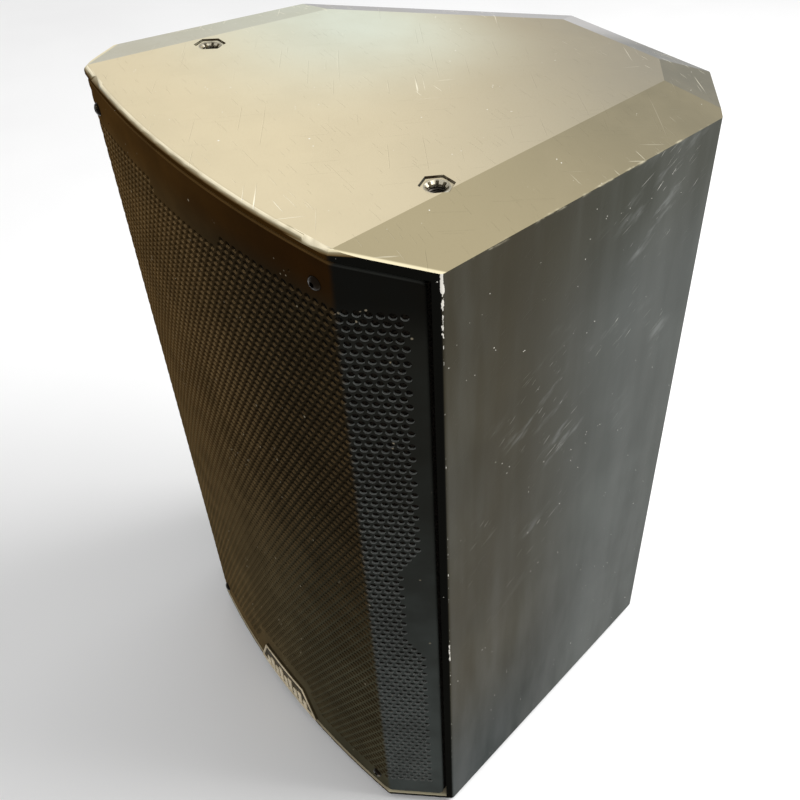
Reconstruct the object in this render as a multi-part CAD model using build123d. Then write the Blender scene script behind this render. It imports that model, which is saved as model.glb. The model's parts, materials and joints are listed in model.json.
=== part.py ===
from build123d import *
import os
from math import cos, radians, sin, sqrt, tan

# A 12-inch two-way powered loudspeaker cabinet, in millimetres.
# +X is the cabinet's left-to-right width seen from the front, the grille faces -Y, +Z is up.
# The origin is at the middle of the bounding box's underside, on the floor.

# Cabinet form
WIDTH = 376.0             # over the side panels, at the front's outer corners
DEPTH = 375.0             # from the bow of the front to the back panel
BODY_HEIGHT = 615.0       # without the feet
FOOT_HEIGHT = 5.0
CREASE_X = 144.0          # half the width of the bowed middle of the front
FRONT_BOW = 12.0          # how far the middle bows forward of its creases
FLANK_SETBACK = 38.5      # how far each flank runs back, crease to outer corner
SIDE_TAPER = 2.7          # degrees that each side panel turns in towards the back
REAR_ANGLE = 47.0         # degrees between the back panel and each rear facet
BACK_RIGHT_X = 123.0      # the back panel's edge at the small rear facet
BACK_LEFT_X = -26.0       # the back panel's edge at the floor-monitor facet
CORNER_RADIUS = 4.0       # the upright edges at the sides and back
EDGE_RADIUS = 3.5         # the edge round the top and the bottom
BEVEL_DROP = 9.0          # how far the top slopes down to its outer edge
BADGE_PROUD = 2.5         # how far the badge stands in front of the bow

# Panels
WALL = 15.0               # side, rear and brace plywood
DECK = 18.0               # top, bottom and baffle plywood
BAFFLE_SETBACK = 56.0     # from the bow of the front to the baffle's face

# Grille and its pocket in the front edges
RIM = 6.0                 # wood left round the grille, measured on the front
RIM_SIDE = 4.6            # the same rim, square to the side panels
GRILLE_GAP = 2.4          # open groove between rim and grille
GRILLE_SETBACK = 0.5      # grille face behind the cabinet's front edges
POCKET_DEPTH = 14.0       # depth of the grille's rebate
SHEET = 1.5               # grille steel
FLANGE = 11.0             # depth of the grille's folded edge
FOAM = 5.0
GRILLE_SCREW_X = 131.0
GRILLE_SCREW_DROP = 27.0  # from the top or bottom to the grille screws
RAIL_HEIGHT = 20.0

# Drivers, ports and brace
WOOFER_Z = 206.0
WOOFER_FRAME_R = 154.0
WOOFER_HOLE_R = 142.0
WOOFER_SCREW_R = 148.0
HORN_Z = 452.0
HORN_WIDTH, HORN_HEIGHT = 264.0, 142.0    # the baffle's cut-out
HORN_LIP = 10.0
HORN_LENGTH = 96.0
THROAT = 36.0
DRIVER_R = 50.0
PORT_X, PORT_Z, PORT_R = 138.0, 75.0, 24.0
PORT_LENGTH = 104.0
BRACE_Z = 352.0

# Fly points, pole cup, feet, handle
FLY_X = 129.0
FLY_FROM_CREASE = 84.0    # behind the front's creases
HEX_FLATS = 18.5
THREAD_R = 5.1            # M12, measured on the thread's crests
POLE_R = 18.2             # socket for a 35 mm pole
POLE_WALL = 3.0
POLE_DEPTH = 85.0
POLE_FLANGE = 104.0
FOOT_R = 13.0
HANDLE_Z = 432.0
HANDLE_WIDTH, HANDLE_HEIGHT, HANDLE_DEPTH = 108.0, 100.0, 56.0
HANDLE_LIP, HANDLE_CORNER_R = 9.0, 6.0
HANDLE_PLAY = 0.3         # gap between the dish and its opening
GRIP_R = 10.0

# Amplifier module in the back panel
AMP_X = (BACK_RIGHT_X + BACK_LEFT_X) / 2
AMP_Z = 300.0
AMP_WIDTH, AMP_HEIGHT = 118.0, 376.0
AMP_LIP = 9.0             # flange that laps the wood
AMP_PLATE = 3.0
AMP_PLAY = 0.3            # gap between the module and its opening
TRAY_DEPTH = 32.0
FIN_COUNT, FIN_THICK, FIN_HEIGHT = 9, 2.6, 118.0
JACK_SPACING = 48.0
CLEAR = 0.35              # gap round anything that moves

# Heights and depths that follow
BOTTOM = FOOT_HEIGHT
TOP = FOOT_HEIGHT + BODY_HEIGHT
FRONT_Y = -(DEPTH - BADGE_PROUD) / 2
BACK_Y = FRONT_Y + DEPTH
CREASE_Y = FRONT_Y + FRONT_BOW
OUTER_Y = CREASE_Y + FLANK_SETBACK
BAFFLE_Y = FRONT_Y + BAFFLE_SETBACK
FLY_Y = CREASE_Y + FLY_FROM_CREASE
BOW_RADIUS = (CREASE_X**2 + FRONT_BOW**2) / (2 * FRONT_BOW)
FLOOR_Y = BACK_Y - TRAY_DEPTH          # outer face of the amplifier tray's floor
TRAY_BOTTOM = AMP_Z - AMP_HEIGHT / 2 + AMP_LIP

# Small fittings
SCREW_R = 2.1
SCREW_PLAY = 0.6          # gap round a screw that passes through the grille or foam
SCREW_HEAD_R = 3.6
SCREW_HEAD_HEIGHT = 2.0
SCREW_LENGTH = 13.0
GRILLE_SCREW_LENGTH = 30.0
FLY_SUNK = 1.5            # the fly points' faces below the wood
FLY_FLANGE, FLY_FLANGE_R = 3.0, 15.0
FLY_MOUTH_R, FLY_MOUTH_DEPTH = 7.0, 1.9
REAR_FLY_Z = 545.0
POLE_Y = 12.0
POLE_PLATE = 2.5
HANDLE_PLATE = 2.0
PORT_WALL = 3.0
BADGE_WIDE, BADGE_NARROW, BADGE_HEIGHT = 94.0, 63.0, 36.5
BADGE_LOW = BOTTOM + 14.5
BADGE_BORDER, BADGE_WELL = 2.2, 1.2
BRACE_WINDOW_Y = -40.0
WADDING, WADDING_WIDTH = 18.0, 130.0

# Amplifier panel layout
AMP_CLEAR_Y = 76.0        # the brace keeps in front of this
BOARD, BOARD_Y = 1.6, FLOOR_Y - 32.0
TRANSFORMER_Y = 96.0
JACK_1_X, JACK_2_X = AMP_X - JACK_SPACING / 2, AMP_X + JACK_SPACING / 2
JACK_R, JACK_HOLE_R = 11.9, 3.3
JACK_Z = 338.0
SOCKET_PLATE = 2.4
LATCH_TRAVEL = 1.4
KNOB_Z, KNOB_R, KNOB_SHAFT_R = 378.0, 8.0, 3.0
BUTTON_Z, EQ_BUTTON_Z, BUTTON, BUTTON_PROUD = 404.0, 391.0, 7.0, 4.4
LINK_Z = 446.0
LIGHT_R = 1.5
MAINS_Z = 284.0
INLET_X, INLET_WIDTH, INLET_HEIGHT = AMP_X - 24.0, 30.0, 44.0
SWITCH_X, SWITCH_WIDTH, SWITCH_HEIGHT = AMP_X + 24.0, 15.0, 22.0
ROCKER_TILT, ROCKER_PIVOT = 9.0, 1.5

# The flat middle of the top, anticlockwise from the right crease
TOP_FLAT = [
    (CREASE_X, CREASE_Y),
    (122.5, BACK_Y - 59.0),
    (95.0, BACK_Y - 30.5),
    (-8.0, BACK_Y - 30.5),
    (-139.0, BACK_Y - 171.0),
    (-CREASE_X, CREASE_Y),
]


# ---------- shape helpers ----------

def box_between(low, high):
    """A box from its lowest corner to its highest."""
    size = Vector(*high) - Vector(*low)
    return Pos(*low) * Box(size.X, size.Y, size.Z, align=(Align.MIN,) * 3)


def rod_y(x, z, radius, y_low, y_high):
    """A round rod that runs front to back."""
    rod = Cylinder(radius, y_high - y_low, align=(Align.CENTER, Align.CENTER, Align.MIN))
    return Pos(x, y_low, z) * Rot(-90, 0, 0) * rod


def rod_z(x, y, radius, z_low, z_high):
    """A round rod that stands upright."""
    rod = Cylinder(radius, z_high - z_low, align=(Align.CENTER, Align.CENTER, Align.MIN))
    return Pos(x, y, z_low) * rod


def turned_y(profile, x, z):
    """A body of revolution about a front-to-back axis, from (radius, y) points."""
    face = make_face(Polyline(*profile, close=True))
    return Pos(x, 0, z) * revolve(face, Axis.Y)


def turned_z(profile, x, y):
    """A body of revolution about an upright axis, from (radius, z) points."""
    face = make_face(Plane.XZ * Polyline(*profile, close=True))
    return Pos(x, y, 0) * revolve(face, Axis.Z)


def plate_y(x, z, width, height, radius, y_low, y_high):
    """A round-cornered plate that faces front or back."""
    outline = Plane(origin=(x, y_low, z), x_dir=(1, 0, 0), z_dir=(0, 1, 0))
    return extrude(outline * RectangleRounded(width, height, radius), y_high - y_low)


# ---------- cabinet plan ----------

def meet(start, along, other, other_along):
    """Where two lines cross in plan."""
    gap = other - start
    cross = along.X * other_along.Y - along.Y * other_along.X
    return start + along * ((gap.X * other_along.Y - gap.Y * other_along.X) / cross)


def outline_corners():
    """The plan's corners, anticlockwise from the front's right crease to its left one."""
    taper = tan(radians(SIDE_TAPER))
    facet = Vector(cos(radians(REAR_ANGLE)), -sin(radians(REAR_ANGLE)))
    front_right = Vector(WIDTH / 2, OUTER_Y)
    front_left = Vector(-WIDTH / 2, OUTER_Y)
    back_right = Vector(BACK_RIGHT_X, BACK_Y)
    back_left = Vector(BACK_LEFT_X, BACK_Y)
    side_right = meet(front_right, Vector(-taper, 1), back_right, facet)
    side_left = meet(front_left, Vector(taper, 1), back_left, Vector(-facet.X, facet.Y))
    return [
        Vector(CREASE_X, CREASE_Y),
        front_right,
        side_right,
        back_right,
        back_left,
        side_left,
        front_left,
        Vector(-CREASE_X, CREASE_Y),
    ]


def inset_corners(side_inset, front_inset):
    """The same corners, moved in from the sides and back, and from the front."""
    corners = outline_corners()
    lines = []
    for number, (start, end) in enumerate(zip(corners[:-1], corners[1:])):
        is_flank = number in (0, len(corners) - 2)
        along = (end - start).normalized()
        inward = Vector(-along.Y, along.X)
        lines.append((start + inward * (front_inset if is_flank else side_inset), along))
    start, along = lines[0]
    centre = Vector(0, FRONT_Y + BOW_RADIUS)
    offset = start - centre
    reach = offset.dot(along)
    root = sqrt(reach**2 - offset.dot(offset) + (BOW_RADIUS - front_inset) ** 2)
    right_crease = start + along * min(-reach - root, root - reach, key=abs)
    left_crease = Vector(-right_crease.X, right_crease.Y)
    middle = [meet(*one, *two) for one, two in zip(lines[:-1], lines[1:])]
    return [right_crease, *middle, left_crease]


def plan_face(side_inset=0.0, front_inset=0.0):
    """The cabinet's outline as a face, drawn in by the insets."""
    corners = inset_corners(side_inset, front_inset)
    bow = ThreePointArc(corners[-1], (0, FRONT_Y + front_inset), corners[0])
    return make_face([*Polyline(*corners).edges(), *bow.edges()])


def bevel_cutters(top):
    """Blocks that slope the top from the edges of its flat down to the outline."""
    corners = outline_corners()
    outer = [corners[1], corners[3], corners[3], corners[5], corners[6]]
    cutters = []
    for start, end, corner in zip(TOP_FLAT[:-1], TOP_FLAT[1:], outer):
        origin = Vector(*start, top)
        along = Vector(*end, top) - origin
        down = Vector(corner.X, corner.Y, top - BEVEL_DROP) - origin
        slope = Plane(origin=origin, x_dir=along, z_dir=down.cross(along))
        cutters.append(slope * Box(1000, 1000, 60, align=(Align.CENTER, Align.CENTER, Align.MIN)))
    return cutters


def block(side_inset, front_inset, low, high):
    """The cabinet's bevelled form between two heights, drawn in by the insets."""
    body = extrude(Pos(0, 0, low) * plan_face(side_inset, front_inset), high - low)
    for cutter in bevel_cutters(high):
        body -= cutter
    return body


def cabinet_form():
    """The whole cabinet as one solid block with softened edges."""
    face = plan_face()
    corners = outline_corners()[1:-1]
    upright = [v for v in face.vertices() if min((Vector(v) - c).length for c in corners) < 1]
    body = extrude(Pos(0, 0, BOTTOM) * fillet(upright, CORNER_RADIUS), BODY_HEIGHT)
    body = fillet(body.edges().group_by(Axis.Z)[0], EDGE_RADIUS)
    body = fillet(body.edges().group_by(Axis.Z)[-1], EDGE_RADIUS)
    for cutter in bevel_cutters(TOP):
        body -= cutter
    return body


def grille_pocket():
    """The rebate in the cabinet's front edges that the grille drops into."""
    whole = block(RIM_SIDE, -4.0, BOTTOM + RIM, TOP - RIM)
    behind = extrude(Pos(0, 0, BOTTOM) * plan_face(0, POCKET_DEPTH), BODY_HEIGHT)
    return whole - behind


def wall_plane(number, share, z):
    """A plane on a wall's outer face: local x along the wall, local y up, facing out."""
    start, end = outline_corners()[number:number + 2]
    along = (end - start).normalized()
    at = start + (end - start) * share
    return Plane(origin=(at.X, at.Y, z), x_dir=along, z_dir=Vector(along.Y, -along.X))


def front_plane(x, z, inset=0.0):
    """A plane on the bowed front, facing out."""
    radius = BOW_RADIUS - inset
    centre_y = FRONT_Y + BOW_RADIUS
    y = centre_y - sqrt(radius**2 - x**2)
    return Plane(origin=(x, y, z), x_dir=(centre_y - y, x, 0), z_dir=(x, y - centre_y, 0))


RIGHT, REAR_CORNER, BACK, MONITOR, LEFT = 1, 2, 3, 4, 5   # walls in the plan's order
HANDLE_PLANE = wall_plane(LEFT, 0.46, HANDLE_Z)


# ---------- cabinet panels ----------

def wall_panel(form, number):
    """One upright panel between top and bottom, mitred to its neighbours."""
    outer = inset_corners(-2.0, 0)
    inner = inset_corners(WALL, 0)
    outline = [outer[number], outer[number + 1], inner[number + 1], inner[number]]
    mitred = make_face(Polyline(*outline, close=True))
    return form & extrude(Pos(0, 0, BOTTOM + DECK) * mitred, BODY_HEIGHT - 2 * DECK)


def fly_planes():
    """Where the threaded fly points sit: two on top, two below, one behind."""
    planes = []
    for x in (-FLY_X, FLY_X):
        planes.append((Plane(origin=(x, FLY_Y, TOP), x_dir=(1, 0, 0), z_dir=(0, 0, 1)), DECK))
        planes.append((Plane(origin=(x, FLY_Y, BOTTOM), x_dir=(1, 0, 0), z_dir=(0, 0, -1)), DECK))
    planes.append((Plane(origin=(AMP_X, BACK_Y, REAR_FLY_Z), x_dir=(0, 0, 1), z_dir=(0, 1, 0)), WALL))
    return planes


def hexagon(flats):
    return RegularPolygon(flats / 2, 6, major_radius=False)


def fly_holes():
    """Hexagonal holes through the wood for the fly points."""
    holes = []
    for plane, thickness in fly_planes():
        holes.append(extrude(plane.offset(-thickness) * hexagon(HEX_FLATS + 0.8), thickness + 1))
    return holes


def fly_point_inserts():
    """Hexagonal steel bushes with an M12 thread, each flanged inside the wood."""
    inserts = []
    for plane, thickness in fly_planes():
        bush = extrude(plane.offset(-thickness) * hexagon(HEX_FLATS), thickness - FLY_SUNK)
        bush += plane.offset(-thickness - FLY_FLANGE) * Cylinder(
            FLY_FLANGE_R, FLY_FLANGE, align=(Align.CENTER, Align.CENTER, Align.MIN)
        )
        bush -= plane * Cylinder(THREAD_R, 4 * thickness)
        mouth = Cone(THREAD_R, FLY_MOUTH_R, FLY_MOUTH_DEPTH, align=(Align.CENTER, Align.CENTER, Align.MAX))
        bush -= plane.offset(-FLY_SUNK) * mouth
        inserts.append(bush)
    return inserts


def top_panel(form, pocket):
    """The bevelled top with its rebate and the fly point holes."""
    above = box_between((-WIDTH, -DEPTH, TOP - DECK), (WIDTH, DEPTH, TOP + 1))
    panel = (form & above) - pocket
    for hole in fly_holes():
        panel -= hole
    return panel


def bottom_panel(form, pocket):
    """The bottom with its rebate, the fly point holes and the pole cup's hole."""
    below = box_between((-WIDTH, -DEPTH, BOTTOM - 1), (WIDTH, DEPTH, BOTTOM + DECK))
    panel = (form & below) - pocket
    for hole in fly_holes():
        panel -= hole
    panel -= rod_z(0, POLE_Y, POLE_R + POLE_WALL + 0.3, BOTTOM - 1, BOTTOM + DECK + 1)
    for x, y in pole_screw_places():
        panel -= rod_z(x, y, SCREW_R, BOTTOM - 1, BOTTOM + DECK - 2)
    return panel


def side_panel_right(form, pocket):
    return wall_panel(form, RIGHT) - pocket


def side_panel_left(form, pocket):
    """The left side, cut out and rebated for the carrying handle."""
    panel = wall_panel(form, LEFT) - pocket
    opening = Rectangle(HANDLE_WIDTH + 2 * HANDLE_PLAY, HANDLE_HEIGHT + 2 * HANDLE_PLAY)
    panel -= extrude(HANDLE_PLANE.offset(-WALL - 1) * opening, WALL + 5)
    lip = handle_lip(HANDLE_PLAY)
    panel -= extrude(HANDLE_PLANE.offset(-HANDLE_PLATE) * lip, 10)
    for x, y in handle_screw_places():
        panel -= HANDLE_PLANE * Pos(x, y, -HANDLE_PLATE) * Cylinder(SCREW_R, 2 * SCREW_LENGTH)
    return panel


def back_panel(form):
    """The back, cut out and rebated for the amplifier and holed for the rear fly point."""
    panel = wall_panel(form, BACK)
    width, height = AMP_WIDTH + 2 * AMP_PLAY, AMP_HEIGHT + 2 * AMP_PLAY
    opening = width - 2 * AMP_LIP, height - 2 * AMP_LIP
    panel -= plate_y(AMP_X, AMP_Z, *opening, 4, BACK_Y - 2 * WALL, BACK_Y + 1)
    panel -= plate_y(AMP_X, AMP_Z, width, height, 4.3, BACK_Y - AMP_PLATE, BACK_Y + 1)
    for x, z in amp_screw_places():
        panel -= rod_y(x, z, SCREW_R, BACK_Y - SCREW_LENGTH - 1, BACK_Y)
    for hole in fly_holes():
        panel -= hole
    return panel


def front_baffle():
    """The flat board that carries the woofer, the horn and the ports."""
    inside = extrude(Pos(0, 0, BOTTOM + DECK) * plan_face(WALL, 0), BODY_HEIGHT - 2 * DECK)
    board = inside & box_between((-WIDTH, BAFFLE_Y, 0), (WIDTH, BAFFLE_Y + DECK, TOP))
    y_low, y_high = BAFFLE_Y - 1, BAFFLE_Y + DECK + 1
    board -= rod_y(0, WOOFER_Z, WOOFER_HOLE_R, y_low, y_high)
    board -= plate_y(0, HORN_Z, HORN_WIDTH, HORN_HEIGHT, 12, y_low, y_high)
    for x in (-PORT_X, PORT_X):
        board -= rod_y(x, PORT_Z, PORT_R + PORT_WALL + 0.1, y_low, y_high)
    for x, z in woofer_screw_places() + horn_screw_places():
        board -= rod_y(x, z, SCREW_R, y_low, BAFFLE_Y + DECK - 2)
    return board


def internal_brace():
    """A shelf across the cabinet between woofer and horn, with a window through it."""
    shelf = extrude(Pos(0, 0, BRACE_Z) * plan_face(WALL, 0), WALL)
    shelf -= box_between((-WIDTH, -DEPTH, 0), (WIDTH, BAFFLE_Y + DECK, TOP))
    window = Pos(0, BRACE_WINDOW_Y, BRACE_Z) * RectangleRounded(230, 96, 20)
    shelf -= extrude(window, WALL)
    half = AMP_WIDTH / 2 + 4
    shelf -= box_between((AMP_X - half, AMP_CLEAR_Y, 0), (AMP_X + half, DEPTH, TOP))
    return shelf


def grille_rails():
    """Two battens in front of the baffle that take the grille screws."""
    rails = []
    for low in (BOTTOM + DECK, TOP - DECK - RAIL_HEIGHT):
        rail = extrude(Pos(0, 0, low) * plan_face(WALL, GRILLE_SETBACK + SHEET + FOAM), RAIL_HEIGHT)
        rail -= box_between((-WIDTH, BAFFLE_Y, 0), (WIDTH, DEPTH, TOP))
        for plane in grille_screw_planes():
            rail -= plane * Cylinder(SCREW_R, 2 * GRILLE_SCREW_LENGTH)
        rails.append(rail)
    return rails


# ---------- grille, foam, badge ----------

def grille_screw_planes():
    """Where the four grille screws sit on the grille's face."""
    return [
        front_plane(x, z, GRILLE_SETBACK)
        for x in (-GRILLE_SCREW_X, GRILLE_SCREW_X)
        for z in (BOTTOM + GRILLE_SCREW_DROP, TOP - GRILLE_SCREW_DROP)
    ]


def grille():
    """The folded steel grille. Its perforation is shown as a plain sheet."""
    side, edge = RIM_SIDE + GRILLE_GAP, RIM + GRILLE_GAP
    outside = block(side, GRILLE_SETBACK, BOTTOM + edge, TOP - edge)
    inside = block(side + SHEET, GRILLE_SETBACK + SHEET, BOTTOM + edge + SHEET, TOP - edge - SHEET)
    behind = extrude(plan_face(0, GRILLE_SETBACK + FLANGE), TOP)
    sheet = outside - inside - behind
    for plane in grille_screw_planes():
        sheet -= plane * Cylinder(SCREW_R + SCREW_PLAY, 12)
    return sheet


def grille_foam():
    """The acoustic foam glued behind the grille."""
    side = RIM_SIDE + GRILLE_GAP + SHEET + 1
    edge = RIM + GRILLE_GAP + SHEET + 1
    front = GRILLE_SETBACK + SHEET
    sheet = block(side, front, BOTTOM + edge, TOP - edge)
    sheet -= extrude(plan_face(0, front + FOAM), TOP)
    for plane in grille_screw_planes():
        sheet -= plane * Cylinder(SCREW_R + SCREW_PLAY, 30)
    return sheet


def grille_screws():
    """Four button-head screws with a hexagon socket."""
    head = Cylinder(4.7, 1.0, align=(Align.CENTER, Align.CENTER, Align.MIN))
    head += Pos(0, 0, 1.0) * Cone(4.7, 2.8, 1.4, align=(Align.CENTER, Align.CENTER, Align.MIN))
    head -= extrude(Pos(0, 0, 0.9) * hexagon(3.2), 3)
    shank = Cylinder(SCREW_R, GRILLE_SCREW_LENGTH, align=(Align.CENTER, Align.CENTER, Align.MAX))
    return [plane * (head + shank) for plane in grille_screw_planes()]


def badge_plate():
    """A blank four-sided plate with a raised border, low in the middle of the grille."""
    def outline(grow):
        low, high = BADGE_LOW - grow, BADGE_LOW + BADGE_HEIGHT + grow
        wide, narrow = BADGE_WIDE / 2 + grow, BADGE_NARROW / 2 + grow
        corners = [(-wide, low), (wide, low), (narrow, high), (-narrow, high)]
        return Plane.XZ * make_face(Polyline(*corners, close=True))

    def behind(inset):
        return extrude(plan_face(0, inset), TOP)

    plate = extrude(outline(0), DEPTH) & behind(-BADGE_PROUD)
    well = extrude(outline(-BADGE_BORDER), DEPTH) - behind(-BADGE_PROUD + BADGE_WELL)
    return plate - behind(GRILLE_SETBACK) - well


# ---------- fittings ----------

def countersunk_screw(length):
    """A flush wood screw, its head at the origin and its shank down -Z."""
    down = (Align.CENTER, Align.CENTER, Align.MAX)
    head = Cone(SCREW_R, SCREW_HEAD_R, SCREW_HEAD_HEIGHT, align=down)
    return head + Cylinder(SCREW_R, length, align=down)


def sink(plane):
    """The countersink that the head of a flush screw lies in."""
    down = (Align.CENTER, Align.CENTER, Align.MAX)
    return plane * (Cone(SCREW_R, SCREW_HEAD_R, SCREW_HEAD_HEIGHT, align=down) + Cylinder(SCREW_R, 40))


def pole_screw_places():
    reach = POLE_FLANGE / 2 - 11
    return [(x, POLE_Y + y) for x in (-reach, reach) for y in (-reach, reach)]


def pole_screw_planes():
    return [
        Plane(origin=(x, y, BOTTOM - POLE_PLATE), x_dir=(1, 0, 0), z_dir=(0, 0, -1))
        for x, y in pole_screw_places()
    ]


def pole_cup():
    """The socket under the cabinet for a stand's pole, with its square flange."""
    outline = Pos(0, POLE_Y, BOTTOM - POLE_PLATE) * RectangleRounded(POLE_FLANGE, POLE_FLANGE, 10)
    cup = extrude(outline, POLE_PLATE)
    cup += rod_z(0, POLE_Y, POLE_R + POLE_WALL, BOTTOM - POLE_PLATE, BOTTOM + POLE_DEPTH + POLE_WALL)
    cup -= rod_z(0, POLE_Y, POLE_R, BOTTOM - POLE_PLATE - 1, BOTTOM + POLE_DEPTH)
    for plane in pole_screw_planes():
        cup -= sink(plane)
    return cup


def pole_cup_screws():
    return [plane * countersunk_screw(SCREW_LENGTH) for plane in pole_screw_planes()]


def foot_planes():
    """Four feet under the cabinet and four on the floor-monitor facet."""
    places = [(-150, OUTER_Y + 14), (150, OUTER_Y + 14), (104, BACK_Y - 38), (-78, BACK_Y - 88)]
    planes = [Plane(origin=(x, y, BOTTOM), x_dir=(1, 0, 0), z_dir=(0, 0, -1)) for x, y in places]
    for share in (0.16, 0.84):
        for z in (BOTTOM + 60, TOP - 60):
            planes.append(wall_plane(MONITOR, share, z))
    return planes


def rubber_feet():
    """Tapered rubber feet with a recess for the fixing screw."""
    up = (Align.CENTER, Align.CENTER, Align.MIN)
    foot = Cone(FOOT_R, FOOT_R - 1.5, FOOT_HEIGHT, align=up) - Pos(0, 0, 2) * Cylinder(4.5, 6, align=up)
    return [plane * foot for plane in foot_planes()]


def handle_dish():
    """The pressed steel dish of the carrying handle, its lip let in flush."""
    dish = extrude(HANDLE_PLANE.offset(-HANDLE_PLATE) * handle_lip(), HANDLE_PLATE)
    outer = Rectangle(HANDLE_WIDTH, HANDLE_HEIGHT)
    dish += extrude(HANDLE_PLANE.offset(-HANDLE_DEPTH) * outer, HANDLE_DEPTH - HANDLE_PLATE)
    inner = Rectangle(HANDLE_WIDTH - 2 * HANDLE_PLATE, HANDLE_HEIGHT - 2 * HANDLE_PLATE)
    dish -= extrude(HANDLE_PLANE.offset(HANDLE_PLATE - HANDLE_DEPTH) * inner, HANDLE_DEPTH)
    for x, y in handle_screw_places():
        dish -= sink(HANDLE_PLANE * Pos(x, y, 0))
    return dish


def handle_lip(play=0.0):
    """The outline of the dish's lip, with an even gap all round where asked."""
    width = HANDLE_WIDTH + 2 * HANDLE_LIP + 2 * play
    height = HANDLE_HEIGHT + 2 * HANDLE_LIP + 2 * play
    return RectangleRounded(width, height, HANDLE_CORNER_R + play)


def handle_screw_places():
    reach_x = HANDLE_WIDTH / 2 + HANDLE_LIP / 2
    reach_y = HANDLE_HEIGHT / 2 + HANDLE_LIP / 2
    return [(x, y) for x in (-reach_x, reach_x) for y in (-reach_y, reach_y)]


def handle_grip():
    """The round bar that the hand closes on."""
    length = HANDLE_WIDTH - 2 * HANDLE_PLATE
    return HANDLE_PLANE * Pos(0, 0, -GRIP_R - 3) * Rot(0, 90, 0) * Cylinder(GRIP_R, length)


def handle_screws():
    screw = countersunk_screw(SCREW_LENGTH - 2)
    return [HANDLE_PLANE * Pos(x, y, 0) * screw for x, y in handle_screw_places()]


# ---------- woofer: profiles are (radius, depth behind the baffle's face) ----------

def turned_behind_baffle(profile, x, z):
    """A turned body whose profile's depths are counted from the baffle's front face."""
    return turned_y([(radius, BAFFLE_Y + depth) for radius, depth in profile], x, z)


def woofer_part(profile):
    return turned_behind_baffle(profile, 0, WOOFER_Z)


def woofer_screw_places():
    return [
        (WOOFER_SCREW_R * cos(radians(turn)), WOOFER_Z + WOOFER_SCREW_R * sin(radians(turn)))
        for turn in range(0, 360, 45)
    ]


def woofer_basket():
    """The cast frame: front ring, conical wall with six windows, and magnet seat."""
    basket = woofer_part([
        (128, -5), (WOOFER_FRAME_R, -5), (WOOFER_FRAME_R, 0), (140, 0), (140, 12), (84, 70),
        (84, 80), (36, 80), (36, 77), (58, 77), (58, 66), (66, 66), (66, 77), (81, 77),
        (81, 69), (137, 11), (137, -2), (128, -2),
    ])
    for turn in range(0, 360, 60):
        window = box_between((70, BAFFLE_Y + 17, -33), (150, BAFFLE_Y + 64, 33))
        basket -= Pos(0, 0, WOOFER_Z) * Rot(0, turn + 30, 0) * window
    for x, z in woofer_screw_places():
        basket -= rod_y(x, z, SCREW_R, BAFFLE_Y - 6, BAFFLE_Y + 1)
    return basket


def woofer_surround():
    """The half-round roll between cone and basket."""
    centre_r, roll, thick = 122.0, 9.0, 1.0
    inner = roll - thick
    glue = BAFFLE_Y - 5
    low = glue - thick
    outside = ThreePointArc((centre_r - roll, low), (centre_r, glue - roll), (centre_r + roll, low))
    inside = ThreePointArc((centre_r + inner, low), (centre_r, glue - inner), (centre_r - inner, low))
    edge = Polyline(outside @ 1, (136, low), (136, glue), (centre_r + inner, glue), inside @ 0)
    rim = Polyline(inside @ 1, (centre_r - inner, glue), (104, glue), (104, low), outside @ 0)
    face = make_face([*outside.edges(), *edge.edges(), *inside.edges(), *rim.edges()])
    return Pos(0, 0, WOOFER_Z) * revolve(face, Axis.Y)


def woofer_cone():
    """The paper cone, flat at its rim where the surround is glued."""
    return woofer_part([(104, -5), (113, -5), (113, -4), (104.8, -4), (33.2, 58.4), (32.4, 57.4)])


def woofer_dust_cap():
    """The domed cap over the voice coil, a slice of a hollow sphere."""
    rim_r, rise, thick, front = 44.0, 11.5, 1.2, 34.4
    radius = (rim_r**2 + rise**2) / (2 * rise)
    centre = Pos(0, BAFFLE_Y + front + radius, WOOFER_Z)
    shell = centre * Sphere(radius) - centre * Sphere(radius - thick)
    return shell & rod_y(0, WOOFER_Z, rim_r, BAFFLE_Y, BAFFLE_Y + front + rise + thick)


def woofer_spider():
    """The corrugated disc that centres the voice coil."""
    steps = 8
    inner, outer, wave = 33.8, 65.0, 1.2
    radii = [inner + (outer - inner) * step / steps for step in range(steps + 1)]
    front = [(radius, 63.6 + wave * (number % 2)) for number, radius in enumerate(radii)]
    back = [(radius, depth + 1.1) for radius, depth in reversed(front)]
    return woofer_part(front + back)


def woofer_voice_coil():
    """The coil former with its winding."""
    return woofer_part([
        (31.3, 57), (32.3, 57), (32.3, 78), (33.5, 78), (33.5, 94), (32.3, 94), (32.3, 98), (31.3, 98),
    ])


def woofer_top_plate():
    return woofer_part([(34.6, 80), (80, 80), (80, 88), (34.6, 88)])


def woofer_magnet():
    return woofer_part([(42, 88), (86, 88), (86, 108), (42, 108)])


def woofer_back_plate():
    """The steel back plate and its pole piece, vented through the middle."""
    return woofer_part([(10, 80), (30.4, 80), (30.4, 108), (80, 108), (80, 116), (10, 116)])


def pan_screws(places, y, length):
    """Pan-head screws driven towards the back."""
    screws = []
    for x, z in places:
        screw = rod_y(x, z, 4.2, y - 2.6, y) + rod_y(x, z, SCREW_R, y, y + length)
        screws.append(screw - rod_y(x, z, 1.5, y - 3, y - 1))
    return screws


# ---------- horn and compression driver ----------

def horn_screw_places():
    reach = (HORN_WIDTH + HORN_LIP) / 2
    return [(x, HORN_Z + z) for x in (-reach, reach) for z in (-54, 0, 54)]


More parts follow.
